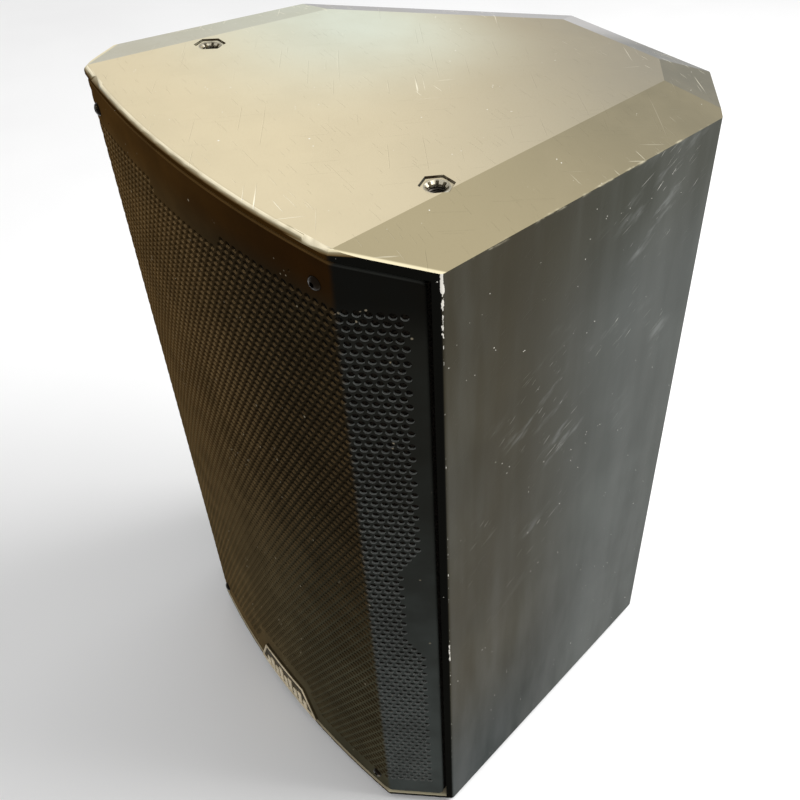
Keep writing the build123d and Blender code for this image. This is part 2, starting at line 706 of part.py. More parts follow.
def flare(grow):
    """The horn's flare from mouth to throat, grown outwards for its outside."""
    sections = 6
    mouth_width, mouth_height = HORN_WIDTH - 14, HORN_HEIGHT - 14
    outlines = []
    for number in range(sections + 1):
        share = number / sections
        open_share = (1 - share) ** 1.5
        width = THROAT + (mouth_width - THROAT) * open_share + 2 * grow
        height = THROAT + (mouth_height - THROAT) * open_share + 2 * grow
        y = BAFFLE_Y - 5 + HORN_LENGTH * share
        plane = Plane(origin=(0, y, HORN_Z), x_dir=(1, 0, 0), z_dir=(0, 1, 0))
        outlines.append(plane * RectangleRounded(width, height, height * 0.45))
    return loft(outlines)


def horn():
    """The moulded horn with its mounting flange."""
    width, height = HORN_WIDTH + 2 * HORN_LIP, HORN_HEIGHT + 2 * HORN_LIP
    body = plate_y(0, HORN_Z, width, height, 10, BAFFLE_Y - 5, BAFFLE_Y) + flare(3)
    end = BAFFLE_Y - 5 + HORN_LENGTH
    body += rod_y(0, HORN_Z, DRIVER_R, end - 6, end)
    body -= flare(0)
    for x, z in horn_screw_places():
        body -= rod_y(x, z, SCREW_R, BAFFLE_Y - 6, BAFFLE_Y + 1)
    return body


def driver_part(profile):
    """A turned part of the compression driver; depths are counted from the horn's end."""
    start = HORN_LENGTH - 5
    return turned_behind_baffle([(radius, start + depth) for radius, depth in profile], 0, HORN_Z)


def compression_driver_body():
    return driver_part([(THROAT / 2, 0), (DRIVER_R, 0), (DRIVER_R, 8), (THROAT / 2, 8)])


def hf_magnet():
    return driver_part([(28, 8), (47, 8), (47, 24), (28, 24)])


def phase_plug():
    """The slotted plug that leads the diaphragm's sound into the throat."""
    plug = driver_part([(15, 8), (27.5, 8), (27.5, 24), (19, 24), (15, 10)])
    plug += driver_part([(0, 4), (5, 8), (10, 20), (10, 23), (0, 23)])
    start = BAFFLE_Y + HORN_LENGTH - 5
    for turn in (0, 60, 120):
        web = box_between((-17, start + 11, -1), (17, start + 20, 1))
        plug += Pos(0, 0, HORN_Z) * Rot(0, turn, 0) * web
    return plug


def hf_diaphragm():
    """The titanium dome with its flat surround."""
    front = [(0, 31), (9, 30), (17, 27), (21, 25.2), (30, 25.2)]
    back = [(30, 25.8), (21.4, 25.8), (17.4, 27.6), (9, 30.6), (0, 31.6)]
    return driver_part(front + back)


def hf_rear_cap():
    return driver_part([(34, 24), (47, 24), (47, 44), (42, 48), (0, 48), (0, 44), (34, 44)])


def port_tubes():
    """Two flanged port tubes through the baffle."""
    profile = [
        (PORT_R, -3), (PORT_R + 6, -3), (PORT_R + 6, 0), (PORT_R + PORT_WALL, 0),
        (PORT_R + PORT_WALL, PORT_LENGTH), (PORT_R, PORT_LENGTH),
    ]
    return [turned_behind_baffle(profile, x, PORT_Z) for x in (-PORT_X, PORT_X)]


# ---------- amplifier module ----------

def amp_screw_places():
    reach = AMP_WIDTH / 2 - AMP_LIP / 2
    return [(AMP_X + x, AMP_Z + z) for x in (-reach, reach) for z in (-180, -60, 60, 180)]


def amp_screw_planes():
    return [Plane(origin=(x, BACK_Y, z), x_dir=(1, 0, 0), z_dir=(0, 1, 0)) for x, z in amp_screw_places()]


def board_post_places():
    return [(AMP_X + x, AMP_Z + z) for x in (-42, 42) for z in (-160, 160)]


def fins():
    """Upright cooling fins in the lower part of the tray."""
    pitch = (AMP_WIDTH - 2 * AMP_LIP - 16) / (FIN_COUNT - 1)
    low = TRAY_BOTTOM + 9
    blades = []
    for number in range(FIN_COUNT):
        x = AMP_X + (number - (FIN_COUNT - 1) / 2) * pitch
        near = (x - FIN_THICK / 2, FLOOR_Y, low)
        blades.append(box_between(near, (x + FIN_THICK / 2, BACK_Y - 1.5, low + FIN_HEIGHT)))
    return blades


def amp_chassis():
    """The die-cast tray: lip, walls, floor with its cut-outs, fins and board posts."""
    width, height = AMP_WIDTH - 2 * AMP_LIP, AMP_HEIGHT - 2 * AMP_LIP
    tray = plate_y(AMP_X, AMP_Z, AMP_WIDTH, AMP_HEIGHT, 4, BACK_Y - AMP_PLATE, BACK_Y)
    tray += plate_y(AMP_X, AMP_Z, width, height, 4, FLOOR_Y - AMP_PLATE, BACK_Y - AMP_PLATE)
    tray -= plate_y(AMP_X, AMP_Z, width - 5, height - 5, 3, FLOOR_Y, BACK_Y + 1)
    for blade in fins():
        tray += blade
    for x, z in board_post_places():
        tray += rod_y(x, z, 3.5, BOARD_Y + BOARD, FLOOR_Y - AMP_PLATE)
    for plane in amp_screw_planes():
        tray -= sink(plane)
    through = (FLOOR_Y - AMP_PLATE - 1, FLOOR_Y + 1)
    for x in (JACK_1_X, JACK_2_X):
        tray -= rod_y(x, JACK_Z, JACK_R + 0.1, *through)
        tray -= latch_solid(x, CLEAR, -AMP_PLATE - 1, 1)
        tray -= rod_y(x, KNOB_Z, KNOB_SHAFT_R + CLEAR, *through)
        tray -= button_solid(x, BUTTON_Z, CLEAR, -AMP_PLATE - 1, 1)
    tray -= rod_y(JACK_1_X, LINK_Z, JACK_R + 0.1, *through)
    tray -= button_solid(AMP_X, EQ_BUTTON_Z, CLEAR, -AMP_PLATE - 1, 1)
    tray -= plate_y(SWITCH_X, MAINS_Z, SWITCH_WIDTH, SWITCH_HEIGHT, 1, *through)
    tray -= plate_y(INLET_X, MAINS_Z, INLET_WIDTH, INLET_HEIGHT, 1, *through)
    for z in light_heights():
        tray -= rod_y(JACK_2_X, z, LIGHT_R, *through)
    return tray


def latch_solid(x, grow, low, high):
    """The space of a jack's release tab, between two heights over the tray's floor."""
    middle = JACK_Z + JACK_R + 1.9
    half_width, half_height = 4 + grow, 1.4 + grow
    near = (x - half_width, FLOOR_Y + low, middle - half_height)
    return box_between(near, (x + half_width, FLOOR_Y + high, middle + half_height))


def button_solid(x, z, grow, low, high):
    """The space of a square push button, between two heights over the tray's floor."""
    half = BUTTON / 2 + grow
    return box_between((x - half, FLOOR_Y + low, z - half), (x + half, FLOOR_Y + high, z + half))


def socket_shell(x, z):
    """A square-flanged round socket with a deep mouth."""
    shell = plate_y(x, z, 26, 31, 3, FLOOR_Y, FLOOR_Y + SOCKET_PLATE)
    shell += rod_y(x, z, JACK_R, FLOOR_Y - 20, FLOOR_Y)
    shell -= rod_y(x, z, JACK_R - 2.2, FLOOR_Y - 16, FLOOR_Y + 3)
    for side in (-1, 1):
        shell -= rod_y(x + side * 9.6, z - side * 12.2, 1.6, FLOOR_Y - 1, FLOOR_Y + 3)
    return shell


def combo_jacks():
    """Two input sockets, each with a centre jack and three contact holes."""
    jacks = []
    for x in (JACK_1_X, JACK_2_X):
        jack = socket_shell(x, JACK_Z)
        core = rod_y(x, JACK_Z, 8.6, FLOOR_Y - 16, FLOOR_Y + 1.2)
        core -= rod_y(x, JACK_Z, JACK_HOLE_R, FLOOR_Y - 15, FLOOR_Y + 2)
        for turn in (30, 150, 270):
            hole_x, hole_z = x + 6 * cos(radians(turn)), JACK_Z + 6 * sin(radians(turn))
            core -= rod_y(hole_x, hole_z, 1.4, FLOOR_Y - 14, FLOOR_Y + 2)
        jack += core
        jacks.append(jack - latch_solid(x, CLEAR, -21, SOCKET_PLATE + 1))
    return jacks


def jack_latch(x):
    """The tab that is pressed to let a plug go."""
    return latch_solid(x, 0, -1.0, SOCKET_PLATE + LATCH_TRAVEL)


def link_output():
    """The output socket with three pins."""
    socket = socket_shell(JACK_1_X, LINK_Z)
    for turn in (90, 210, 330):
        pin_x, pin_z = JACK_1_X + 5 * cos(radians(turn)), LINK_Z + 5 * sin(radians(turn))
        socket += rod_y(pin_x, pin_z, 1.2, FLOOR_Y - 16.5, FLOOR_Y - 3)
    return socket


def level_knob(x):
    """A knob with a pointer groove, and its shaft."""
    knob = rod_y(x, KNOB_Z, KNOB_R, FLOOR_Y + 1, FLOOR_Y + 13)
    knob += rod_y(x, KNOB_Z, KNOB_SHAFT_R, FLOOR_Y - 9, FLOOR_Y + 1)
    knob = chamfer(knob.faces().sort_by(Axis.Y)[-1].edges(), 1.0)
    for turn in range(0, 360, 30):
        groove_x = x + (KNOB_R + 0.5) * cos(radians(turn + 15))
        groove_z = KNOB_Z + (KNOB_R + 0.5) * sin(radians(turn + 15))
        knob -= rod_y(groove_x, groove_z, 1.2, FLOOR_Y + 4, FLOOR_Y + 14)
    pointer = box_between((x - 0.6, FLOOR_Y + 12.2, KNOB_Z + 1), (x + 0.6, FLOOR_Y + 14, KNOB_Z + KNOB_R))
    return knob - pointer


def push_button(x, z):
    return button_solid(x, z, 0, -8, BUTTON_PROUD)


def power_switch_frame():
    """The switch's housing, a box open to the outside."""
    frame = plate_y(SWITCH_X, MAINS_Z, SWITCH_WIDTH + 4, SWITCH_HEIGHT + 4, 2, FLOOR_Y, FLOOR_Y + 1.5)
    frame += plate_y(SWITCH_X, MAINS_Z, SWITCH_WIDTH, SWITCH_HEIGHT, 1, FLOOR_Y - 16, FLOOR_Y)
    half_width, half_height = SWITCH_WIDTH / 2 - 1, SWITCH_HEIGHT / 2 - 1
    return frame - box_between(
        (SWITCH_X - half_width, FLOOR_Y - 14.5, MAINS_Z - half_height),
        (SWITCH_X + half_width, FLOOR_Y + 2, MAINS_Z + half_height),
    )


def power_rocker():
    """The rocker, resting on its lower side."""
    half_width = SWITCH_WIDTH / 2 - 1 - CLEAR
    half = SWITCH_HEIGHT / 2 - 1
    upper = [(5, -10), (half - 1.4, -2), (half - 1.0, 5.6)]
    lower = [(-height, depth) for height, depth in reversed(upper)]
    profile = upper + [(0, 3.6)] + lower
    face = make_face(Polyline(*[(0, depth, height) for height, depth in profile], close=True))
    rocker = extrude(face, 2 * half_width, dir=(1, 0, 0))
    return Pos(SWITCH_X - half_width, FLOOR_Y - ROCKER_PIVOT, MAINS_Z) * Rot(ROCKER_TILT, 0, 0) * rocker


def mains_inlet():
    """The mains inlet with three pins and a slot for the fuse drawer."""
    inlet = plate_y(INLET_X, MAINS_Z, INLET_WIDTH + 3, INLET_HEIGHT + 3, 2, FLOOR_Y, FLOOR_Y + 2)
    inlet += plate_y(INLET_X, MAINS_Z, INLET_WIDTH, INLET_HEIGHT, 1, FLOOR_Y - 20, FLOOR_Y)
    inlet -= plate_y(INLET_X, MAINS_Z + 8, 24, 17, 2.5, FLOOR_Y - 17, FLOOR_Y + 3)
    for x, z in ((-7, 9), (7, 9), (0, 13)):
        near = (INLET_X + x - 1, FLOOR_Y - 17.5, MAINS_Z + z - 2)
        inlet += box_between(near, (INLET_X + x + 1, FLOOR_Y - 2, MAINS_Z + z + 2))
    inlet -= drawer_solid(CLEAR, -18, 3)
    return inlet


def drawer_solid(grow, low, high):
    """The fuse drawer's space, between two heights over the tray's floor."""
    middle = MAINS_Z - 13
    return box_between(
        (INLET_X - 12.5 - grow, FLOOR_Y + low, middle - 5 - grow),
        (INLET_X + 12.5 + grow, FLOOR_Y + high, middle + 5 + grow),
    )


def fuse_drawer():
    """The drawer with the fuse's hollow and a finger groove."""
    drawer = drawer_solid(0, -17, 3.2)
    drawer -= box_between(
        (INLET_X - 10.5, FLOOR_Y - 14, MAINS_Z - 15.5), (INLET_X + 10.5, FLOOR_Y - 7.5, MAINS_Z - 7)
    )
    return drawer - box_between(
        (INLET_X - 4, FLOOR_Y + 1.6, MAINS_Z - 18.1), (INLET_X + 4, FLOOR_Y + 2.6, MAINS_Z - 15)
    )


def light_heights():
    return [LINK_Z + 9 - 6 * number for number in range(4)]


def status_lights():
    return [rod_y(JACK_2_X, z, LIGHT_R, FLOOR_Y - 6, FLOOR_Y + 1.2) for z in light_heights()]


def amp_circuit_board():
    """The circuit board behind the tray, holed for its four posts' screws."""
    return box_between(
        (AMP_X - 48, BOARD_Y, AMP_Z - 170), (AMP_X + 48, BOARD_Y + BOARD, AMP_Z + 170)
    )


def filter_capacitors():
    """Four large capacitors standing on the board."""
    return [
        rod_y(AMP_X + x, AMP_Z + z, 14, BOARD_Y - 36, BOARD_Y) for x in (-24, 24) for z in (-120, -84)
    ]


def power_transformer():
    """The ring-shaped mains transformer on the cabinet's floor."""
    floor = BOTTOM + DECK
    height, shoulder = 38, 6
    outside = [(44, floor), (48, floor + shoulder), (48, floor + height - shoulder), (44, floor + height)]
    return turned_z([(18, floor), *outside, (18, floor + height)], AMP_X, TRANSFORMER_Y)


def damping_wadding():
    """Four pads of wadding on the inside of the monitor facet's panel and the right side."""
    pads = []
    for number, share in ((MONITOR, 0.5), (RIGHT, 0.66)):
        for low, high in ((BOTTOM + DECK + 16, BRACE_Z - 12), (BRACE_Z + WALL + 12, TOP - DECK - 16)):
            plane = wall_plane(number, share, (low + high) / 2).offset(-WALL - WADDING)
            pads.append(extrude(plane * RectangleRounded(WADDING_WIDTH, high - low, 12), WADDING))
    return pads


# ---------- building and writing ----------

def build_parts():
    """Every node's name with its solid or its group of solids."""
    form = cabinet_form()
    pocket = grille_pocket()
    return {
        "top_panel": top_panel(form, pocket),
        "bottom_panel": bottom_panel(form, pocket),
        "side_panel_right": side_panel_right(form, pocket),
        "side_panel_left": side_panel_left(form, pocket),
        "back_panel": back_panel(form),
        "rear_corner_panel": wall_panel(form, REAR_CORNER),
        "monitor_panel": wall_panel(form, MONITOR),
        "front_baffle": front_baffle(),
        "internal_brace": internal_brace(),
        "grille_rails": grille_rails(),
        "grille": grille(),
        "grille_foam": grille_foam(),
        "grille_screws": grille_screws(),
        "badge_plate": badge_plate(),
        "fly_point_inserts": fly_point_inserts(),
        "pole_cup": pole_cup(),
        "pole_cup_screws": pole_cup_screws(),
        "rubber_feet": rubber_feet(),
        "handle_dish": handle_dish(),
        "handle_grip": handle_grip(),
        "handle_screws": handle_screws(),
        "woofer_basket": woofer_basket(),
        "woofer_surround": woofer_surround(),
        "woofer_cone": woofer_cone(),
        "woofer_dust_cap": woofer_dust_cap(),
        "woofer_spider": woofer_spider(),
        "woofer_voice_coil": woofer_voice_coil(),
        "woofer_top_plate": woofer_top_plate(),
        "woofer_magnet": woofer_magnet(),
        "woofer_back_plate": woofer_back_plate(),
        "woofer_screws": pan_screws(woofer_screw_places(), BAFFLE_Y - 5, 18),
        "horn": horn(),
        "horn_screws": pan_screws(horn_screw_places(), BAFFLE_Y - 5, 18),
        "compression_driver_body": compression_driver_body(),
        "hf_magnet": hf_magnet(),
        "phase_plug": phase_plug(),
        "hf_diaphragm": hf_diaphragm(),
        "hf_rear_cap": hf_rear_cap(),
        "port_tubes": port_tubes(),
        "amp_chassis": amp_chassis(),
        "amp_screws": [plane * countersunk_screw(SCREW_LENGTH) for plane in amp_screw_planes()],
        "amp_circuit_board": amp_circuit_board(),
        "filter_capacitors": filter_capacitors(),
        "power_transformer": power_transformer(),
        "combo_jacks": combo_jacks(),
        "jack_latch_1": jack_latch(JACK_1_X),
        "jack_latch_2": jack_latch(JACK_2_X),
        "link_output": link_output(),
        "level_knob_1": level_knob(JACK_1_X),
        "level_knob_2": level_knob(JACK_2_X),
        "input_button_1": push_button(JACK_1_X, BUTTON_Z),
        "input_button_2": push_button(JACK_2_X, BUTTON_Z),
        "eq_button": push_button(AMP_X, EQ_BUTTON_Z),
        "power_switch_frame": power_switch_frame(),
        "power_rocker": power_rocker(),
        "mains_inlet": mains_inlet(),
        "fuse_drawer": fuse_drawer(),
        "status_lights": status_lights(),
        "damping_wadding": damping_wadding(),
    }


def write_parts(parts):
    """Writes one STEP file for each node."""
    os.makedirs("parts", exist_ok=True)
    for name, shape in parts.items():
        pieces = shape if isinstance(shape, list) else [shape]
        solids = [solid for piece in pieces for solid in piece.solids()]
        export_step(Compound(children=solids), f"parts/{name}.step")


write_parts(build_parts())
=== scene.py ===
"""Looks of a trapezoid two-way loudspeaker cabinet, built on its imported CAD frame."""

import json
from math import asin, atan2, cos, floor, pi, radians, sin, sqrt, tan

import bpy
from mathutils import Euler, Matrix, Vector


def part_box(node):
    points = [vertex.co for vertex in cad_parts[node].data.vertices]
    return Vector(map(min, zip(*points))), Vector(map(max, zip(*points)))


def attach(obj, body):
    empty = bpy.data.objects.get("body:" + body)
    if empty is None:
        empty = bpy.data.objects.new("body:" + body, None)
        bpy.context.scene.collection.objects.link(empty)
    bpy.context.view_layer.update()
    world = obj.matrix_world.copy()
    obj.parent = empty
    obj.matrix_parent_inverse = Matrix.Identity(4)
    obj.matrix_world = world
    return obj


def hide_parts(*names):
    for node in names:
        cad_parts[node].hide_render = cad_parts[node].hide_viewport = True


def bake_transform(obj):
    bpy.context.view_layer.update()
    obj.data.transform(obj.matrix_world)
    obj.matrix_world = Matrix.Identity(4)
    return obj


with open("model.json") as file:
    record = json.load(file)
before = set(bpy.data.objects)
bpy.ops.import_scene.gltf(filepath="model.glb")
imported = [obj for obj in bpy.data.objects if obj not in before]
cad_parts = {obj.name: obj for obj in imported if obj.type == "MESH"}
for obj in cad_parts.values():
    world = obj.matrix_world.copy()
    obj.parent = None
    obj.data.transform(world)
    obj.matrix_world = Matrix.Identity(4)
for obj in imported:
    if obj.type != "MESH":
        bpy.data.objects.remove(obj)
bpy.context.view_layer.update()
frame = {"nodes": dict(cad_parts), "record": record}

# ---------- the cabinet's own dimensions, in metres ----------

TOP_LOW, TOP_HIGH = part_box("top_panel")
TOP = TOP_HIGH[2]
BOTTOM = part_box("bottom_panel")[0][2]
FRONT_Y, BACK_Y = TOP_LOW[1], TOP_HIGH[1]
BOW_RADIUS = 0.870
CREASE_X, CREASE_Y = 0.144, FRONT_Y + 0.012
OUTER_X, OUTER_Y = 0.188, CREASE_Y + 0.0385
FLANK_ANGLE = atan2(OUTER_Y - CREASE_Y, OUTER_X - CREASE_X)
BEVEL_DROP = 0.009
SIDE_TAPER = radians(2.7)
DECK, WALL = 0.018, 0.015

RIM, RIM_SIDE, GRILLE_GAP = 0.006, 0.0046, 0.0024
GRILLE_SETBACK, SHEET, FLANGE = 0.0005, 0.0015, 0.011
GRILLE_SCREW_X, GRILLE_SCREW_DROP = 0.131, 0.027
HOLE_RADIUS, HOLE_PITCH = 0.00255, 0.0065
ROW_PITCH = HOLE_PITCH * sqrt(3) / 2
FIRST_ROW_Z, ROWS = TOP - 0.0404, 97
MARGIN_ROWS, HALF_COLUMNS = 7, 32

FLY_X, FLY_Y = 0.129, CREASE_Y + 0.084
REAR_FLY_Z = 0.545
HEX_FLATS, FLY_SUNK, FLY_FLANGE, FLY_FLANGE_R = 0.0185, 0.0015, 0.003, 0.015
FLY_MOUTH_R, FLY_MOUTH_DEPTH, THREAD_R, THREAD_PITCH = 0.0070, 0.0019, 0.0051, 0.00175
THREAD_DEPTH, LEAD_IN, CHAMFER, ROWS_PER_TURN = 0.0008, 0.0004, 0.0003, 6
NOTCHES, NOTCH_DEPTH, NOTCH_REACH, NOTCH_SHARE = 8, 0.0018, 0.0021, 0.35

AMP_LOW, AMP_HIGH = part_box("amp_chassis")
AMP_X = (AMP_LOW[0] + AMP_HIGH[0]) / 2
PANEL_Y = BACK_Y - 0.032


# ---------- meshes ----------

def mesh_object(name, verts, faces, smooth=False):
    """A new mesh object from vertex and face lists."""
    mesh = bpy.data.meshes.new(name)
    mesh.from_pydata(verts, [], faces)
    mesh.validate()
    if smooth:
        mesh.shade_smooth()
        mesh.set_sharp_from_angle(angle=radians(35))
    obj = bpy.data.objects.new(name, mesh)
    bpy.context.collection.objects.link(obj)
    return obj


class Shape:
    """Vertices and faces of one mesh, gathered from several forms; each face has a material number."""

    def __init__(self):
        self.verts, self.faces, self.numbers = [], [], []

    def add(self, verts, faces, place=None, numbers=0):
        """Adds a form, moved by the matrix place; numbers is one material number or one for each face."""
        start = len(self.verts)
        self.verts += [place @ Vector(v) if place else Vector(v) for v in verts]
        self.faces += [[start + index for index in face] for face in faces]
        self.numbers += numbers if isinstance(numbers, list) else [numbers] * len(faces)

    def turn(self, profile, place, segments, closed=False, numbers=None):
        """Adds a turned form from (radius, height) pairs, where a radius may depend on the angle.

        The profile runs up the outside. A radius of 0 closes an end. numbers has one for each band."""
        verts, rows, faces = [], [], []
        for radius, height in profile:
            row = []
            for step in range(1 if radius == 0 else segments):
                angle = 2 * pi * step / segments
                reach = radius(angle) if callable(radius) else radius
                row.append(len(verts))
                verts.append((reach * cos(angle), reach * sin(angle), height))
            rows.append(row)
        bands = list(zip(rows, rows[1:] + rows[:1] if closed else rows[1:]))
        for low, high in bands:
            for step in range(segments):
                after = (step + 1) % segments
                if len(low) == 1:
                    faces.append((low[0], high[after], high[step]))
                elif len(high) == 1:
                    faces.append((low[step], low[after], high[0]))
                else:
                    faces.append((low[step], low[after], high[after], high[step]))
        numbers = numbers or [0] * len(bands)
        self.add(verts, faces, place, [number for number in numbers for _ in range(segments)])

    def rings(self, loops, cap=True, number=0):
        """Adds a form through loops of points of one length, first loop lowest, each anticlockwise."""
        size = len(loops[0])
        verts = [point for loop in loops for point in loop]
        faces = []
        for level in range(len(loops) - 1):
            for step in range(size):
                low, after = level * size + step, level * size + (step + 1) % size
                faces.append((low, after, after + size, low + size))
        if cap:
            faces.append(tuple(range((len(loops) - 1) * size, len(loops) * size)))
            faces.append(tuple(reversed(range(size))))
        self.add(verts, faces, numbers=number)

    def finish(self, name, materials, slot, replaces=(), bend=None):
        obj = mesh_object(name, self.verts, self.faces, smooth=True)
        for material in materials:
            obj.data.materials.append(material)
        obj.data.polygons.foreach_set("material_index", self.numbers)
        if replaces:
            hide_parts(*replaces)
        if bend:
            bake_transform(obj)
        else:
            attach(obj, "cabinet")


def place_on(origin, normal, across=(1, 0, 0)):
    """The matrix of a plane: its origin, its x direction and its normal."""
    up = Vector(normal).normalized()
    side = (Vector(across) - up * Vector(across).dot(up)).normalized()
    return Matrix.Translation(origin) @ Matrix((side, up.cross(side), up)).transposed().to_4x4()


def hexagon_radius(flats):
    """The radius of a hexagon at an angle, with a corner at angle 0."""
    sixth = pi / 3
    return lambda angle: flats / 2 / cos(angle % sixth - sixth / 2)


def cross_radius(arm, half_width):
    """The radius of a cross-shaped recess at an angle."""
    def radius(angle):
        quarter = pi / 2
        off = abs((angle + quarter / 2) % quarter - quarter / 2)
        return min(arm / cos(off), half_width / max(sin(off), 1e-6))
    return radius


# ---------- shader building ----------

class Shader:
    """A material under construction, with short names for the nodes that it uses.

    x, y and z are the surface point, and nx, ny and nz are its true normal. A mask is 0 to 1."""

    def __init__(self, name):
        self.material = bpy.data.materials.new(name)
        self.material.use_nodes = True
        self.tree = self.material.node_tree
        self.surface = self.tree.nodes["Principled BSDF"]
        self.spot = self.node("ShaderNodeTexCoord").outputs["Object"]
        self.x, self.y, self.z = self.split(self.spot)
        self.nx, self.ny, self.nz = self.split(self.node("ShaderNodeNewGeometry").outputs["Normal"])

    def node(self, kind, feeds=None, **settings):
        """A new node with its settings; feeds gives inputs, by name or number, a value or a socket."""
        made = self.tree.nodes.new(kind)
        for key, value in settings.items():
            setattr(made, key, value)
        for key, value in (feeds or {}).items():
            self.feed(made.inputs[key], value)
        return made

    def feed(self, socket, value):
        """Links a socket or sets its value; a colour is a tuple in 0 to 255 or a list in linear light."""
        if isinstance(value, bpy.types.NodeSocket):
            self.tree.links.new(value, socket)
        elif socket.type == "RGBA" and isinstance(value, (tuple, list)):
            light = srgb(value) if isinstance(value, tuple) else value
            socket.default_value = (*light, 1)
        else:
            socket.default_value = value

    def split(self, vector):
        return self.node("ShaderNodeSeparateXYZ", {0: vector}).outputs

    def noise(self, scale, detail=2.0, roughness=0.5, vector=None):
        feeds = {"Vector": vector or self.spot, "Scale": scale, "Detail": detail, "Roughness": roughness}
        return self.node("ShaderNodeTexNoise", feeds).outputs["Fac"]

    def drawn(self, scale, detail, roughness=0.5, axis="Z_AXIS", turn=0.0):
        """Noise with a scale for each direction, after a turn about an axis."""
        feeds = {"Vector": self.spot, "Angle": radians(turn)}
        turned = self.node("ShaderNodeVectorRotate", feeds, rotation_type=axis)
        feeds = {0: turned.outputs[0], 1: scale}
        scaled = self.node("ShaderNodeVectorMath", feeds, operation="MULTIPLY")
        return self.noise(1.0, detail, roughness, scaled.outputs[0])

    def cells(self, scale, output="Distance"):
        return self.node("ShaderNodeTexVoronoi", {"Vector": self.spot, "Scale": scale}).outputs[output]

    def maths(self, operation, a, b=0.0):
        return self.node("ShaderNodeMath", {0: a, 1: b}, operation=operation).outputs[0]

    def plus(self, a, b):
        return self.maths("ADD", a, b)

    def minus(self, a, b):
        return self.maths("SUBTRACT", a, b)

    def size_of(self, value):
        return self.maths("ABSOLUTE", value)

    def both(self, *values):
        """The product of several masks or values."""
        result = values[0]
        for value in values[1:]:
            result = self.maths("MULTIPLY", result, value)
        return result

    def either(self, *masks):
        """The greatest of several masks."""
        result = masks[0]
        for mask in masks[1:]:
            result = self.maths("MAXIMUM", result, mask)
        return result

    def wave(self, value, length):
        """A sine that repeats once in every length."""
        return self.maths("SINE", self.both(value, 2 * pi / length))

    def ramp(self, value, low, high, start=0.0, end=1.0):
        """A smooth step from start to end as value goes from low to high."""
        if low > high:
            low, high, start, end = high, low, end, start
        feeds = {"Value": value, "From Min": low, "From Max": high, "To Min": start, "To Max": end}
        return self.node("ShaderNodeMapRange", feeds, interpolation_type="SMOOTHSTEP").outputs["Result"]

    def uneven(self, scale, detail, start=0.0, end=1.0):
        """A value that wanders between start and end over the surface."""
        return self.ramp(self.noise(scale, detail), 0.3, 0.7, start, end)

    def mix(self, share, a, b):
        """Colour a turned into colour b by share."""
        made = self.node("ShaderNodeMix", {"Factor": share}, data_type="RGBA")
        first, second = (socket for socket in made.inputs if socket.type == "RGBA")
        self.feed(first, a)
        self.feed(second, b)
        return next(socket for socket in made.outputs if socket.type == "RGBA")

    def layered(self, colour, *layers):
        """A colour with others laid over it in turn, each as (mask, colour)."""
        for mask, over in layers:
            colour = self.mix(mask, colour, over)
        return colour

    def fade(self, value, low, high, a, b):
        """Colour a turning into colour b as value goes from low to high."""
        return self.mix(self.ramp(value, low, high), a, b)

    def bump(self, height, strength, distance, under=None):
        feeds = {"Height": height, "Strength": strength, "Distance": distance}
        if under is not None:
            feeds["Normal"] = under
        return self.node("ShaderNodeBump", feeds).outputs["Normal"]

    def streaks(self, scale, axis, turn, low, high):
        """Short thin scratches along one direction."""
        return self.ramp(self.drawn(scale, 0.0, 0.5, axis, turn), low, high)

    def finish(self, colour, roughness, normal=None, metallic=0.0, specular=0.5):
        sockets = self.surface.inputs
        self.feed(sockets["Base Color"], colour)
        self.feed(sockets["Roughness"], roughness)
        sockets["Metallic"].default_value = metallic
        self.feed(sockets["Specular IOR Level"], specular)
        if normal is not None:
            self.feed(sockets["Normal"], normal)
        return self.material


def srgb(colour):
    """A colour given in 0 to 255, as linear light."""
    def linear(value):
        value /= 255
        return value / 12.92 if value <= 0.04045 else ((value + 0.055) / 1.055) ** 2.4
    return [linear(value) for value in colour]


def specks(sh, scale, size, share):
    """Scattered dots of uneven size."""
    centre = sh.cells(scale)
    present = sh.ramp(sh.noise(scale * 0.37, 1), share, share + 0.03)
    return sh.both(present, sh.ramp(centre, size, size * 0.6))


def on_flanks(sh):
    """1 on the front's two flanks, 0 over its bow."""
    return sh.ramp(sh.size_of(sh.x), CREASE_X - 0.0025, CREASE_X + 0.0015)


# ---------- the cabinet's lacquer ----------

def lid_colour(sh):
    """The top as painted light: cream at the front left, falling to olive to the rear right, with a
    painted reflection of its own on each bevel.
    """
    # painted light: the top fades from the front left to the rear right as if the light fell off
    drift = sh.plus(sh.both(sh.x, 0.55), sh.y)
    flat = sh.fade(drift, -0.16, 0.24, (190, 178, 149), (121, 116, 103))
    # painted highlight: a paler patch at the front left of the top
    pale = sh.both(sh.ramp(sh.y, -0.16, 0.02), sh.ramp(sh.x, 0.06, -0.1), sh.ramp(sh.y, 0.13, 0.03))
    flat = sh.mix(pale, flat, (182, 186, 172))
    # painted reflections: the bevels and the rear edge each take a tone by the way they face
    right = sh.fade(sh.y, -0.15, 0.12, (143, 133, 106), (108, 102, 84))
    left = sh.fade(sh.y, -0.15, 0.1, (170, 167, 152), (177, 181, 167))
    rear = sh.fade(sh.x, 0.0, 0.07, (149, 148, 148), (106, 106, 104))
    rear = sh.fade(sh.nx, 0.04, 0.12, rear, (94, 92, 83))
    colour = sh.fade(sh.nx, 0.06, 0.14, flat, right)
    colour = sh.fade(sh.nx, -0.05, -0.12, colour, left)
    colour = sh.fade(sh.ny, 0.09, 0.16, colour, rear)
    stain = sh.ramp(sh.noise(24, 3, 0.6), 0.35, 0.7, 0.0, 0.10)
    return sh.mix(stain, colour, (150, 140, 115))


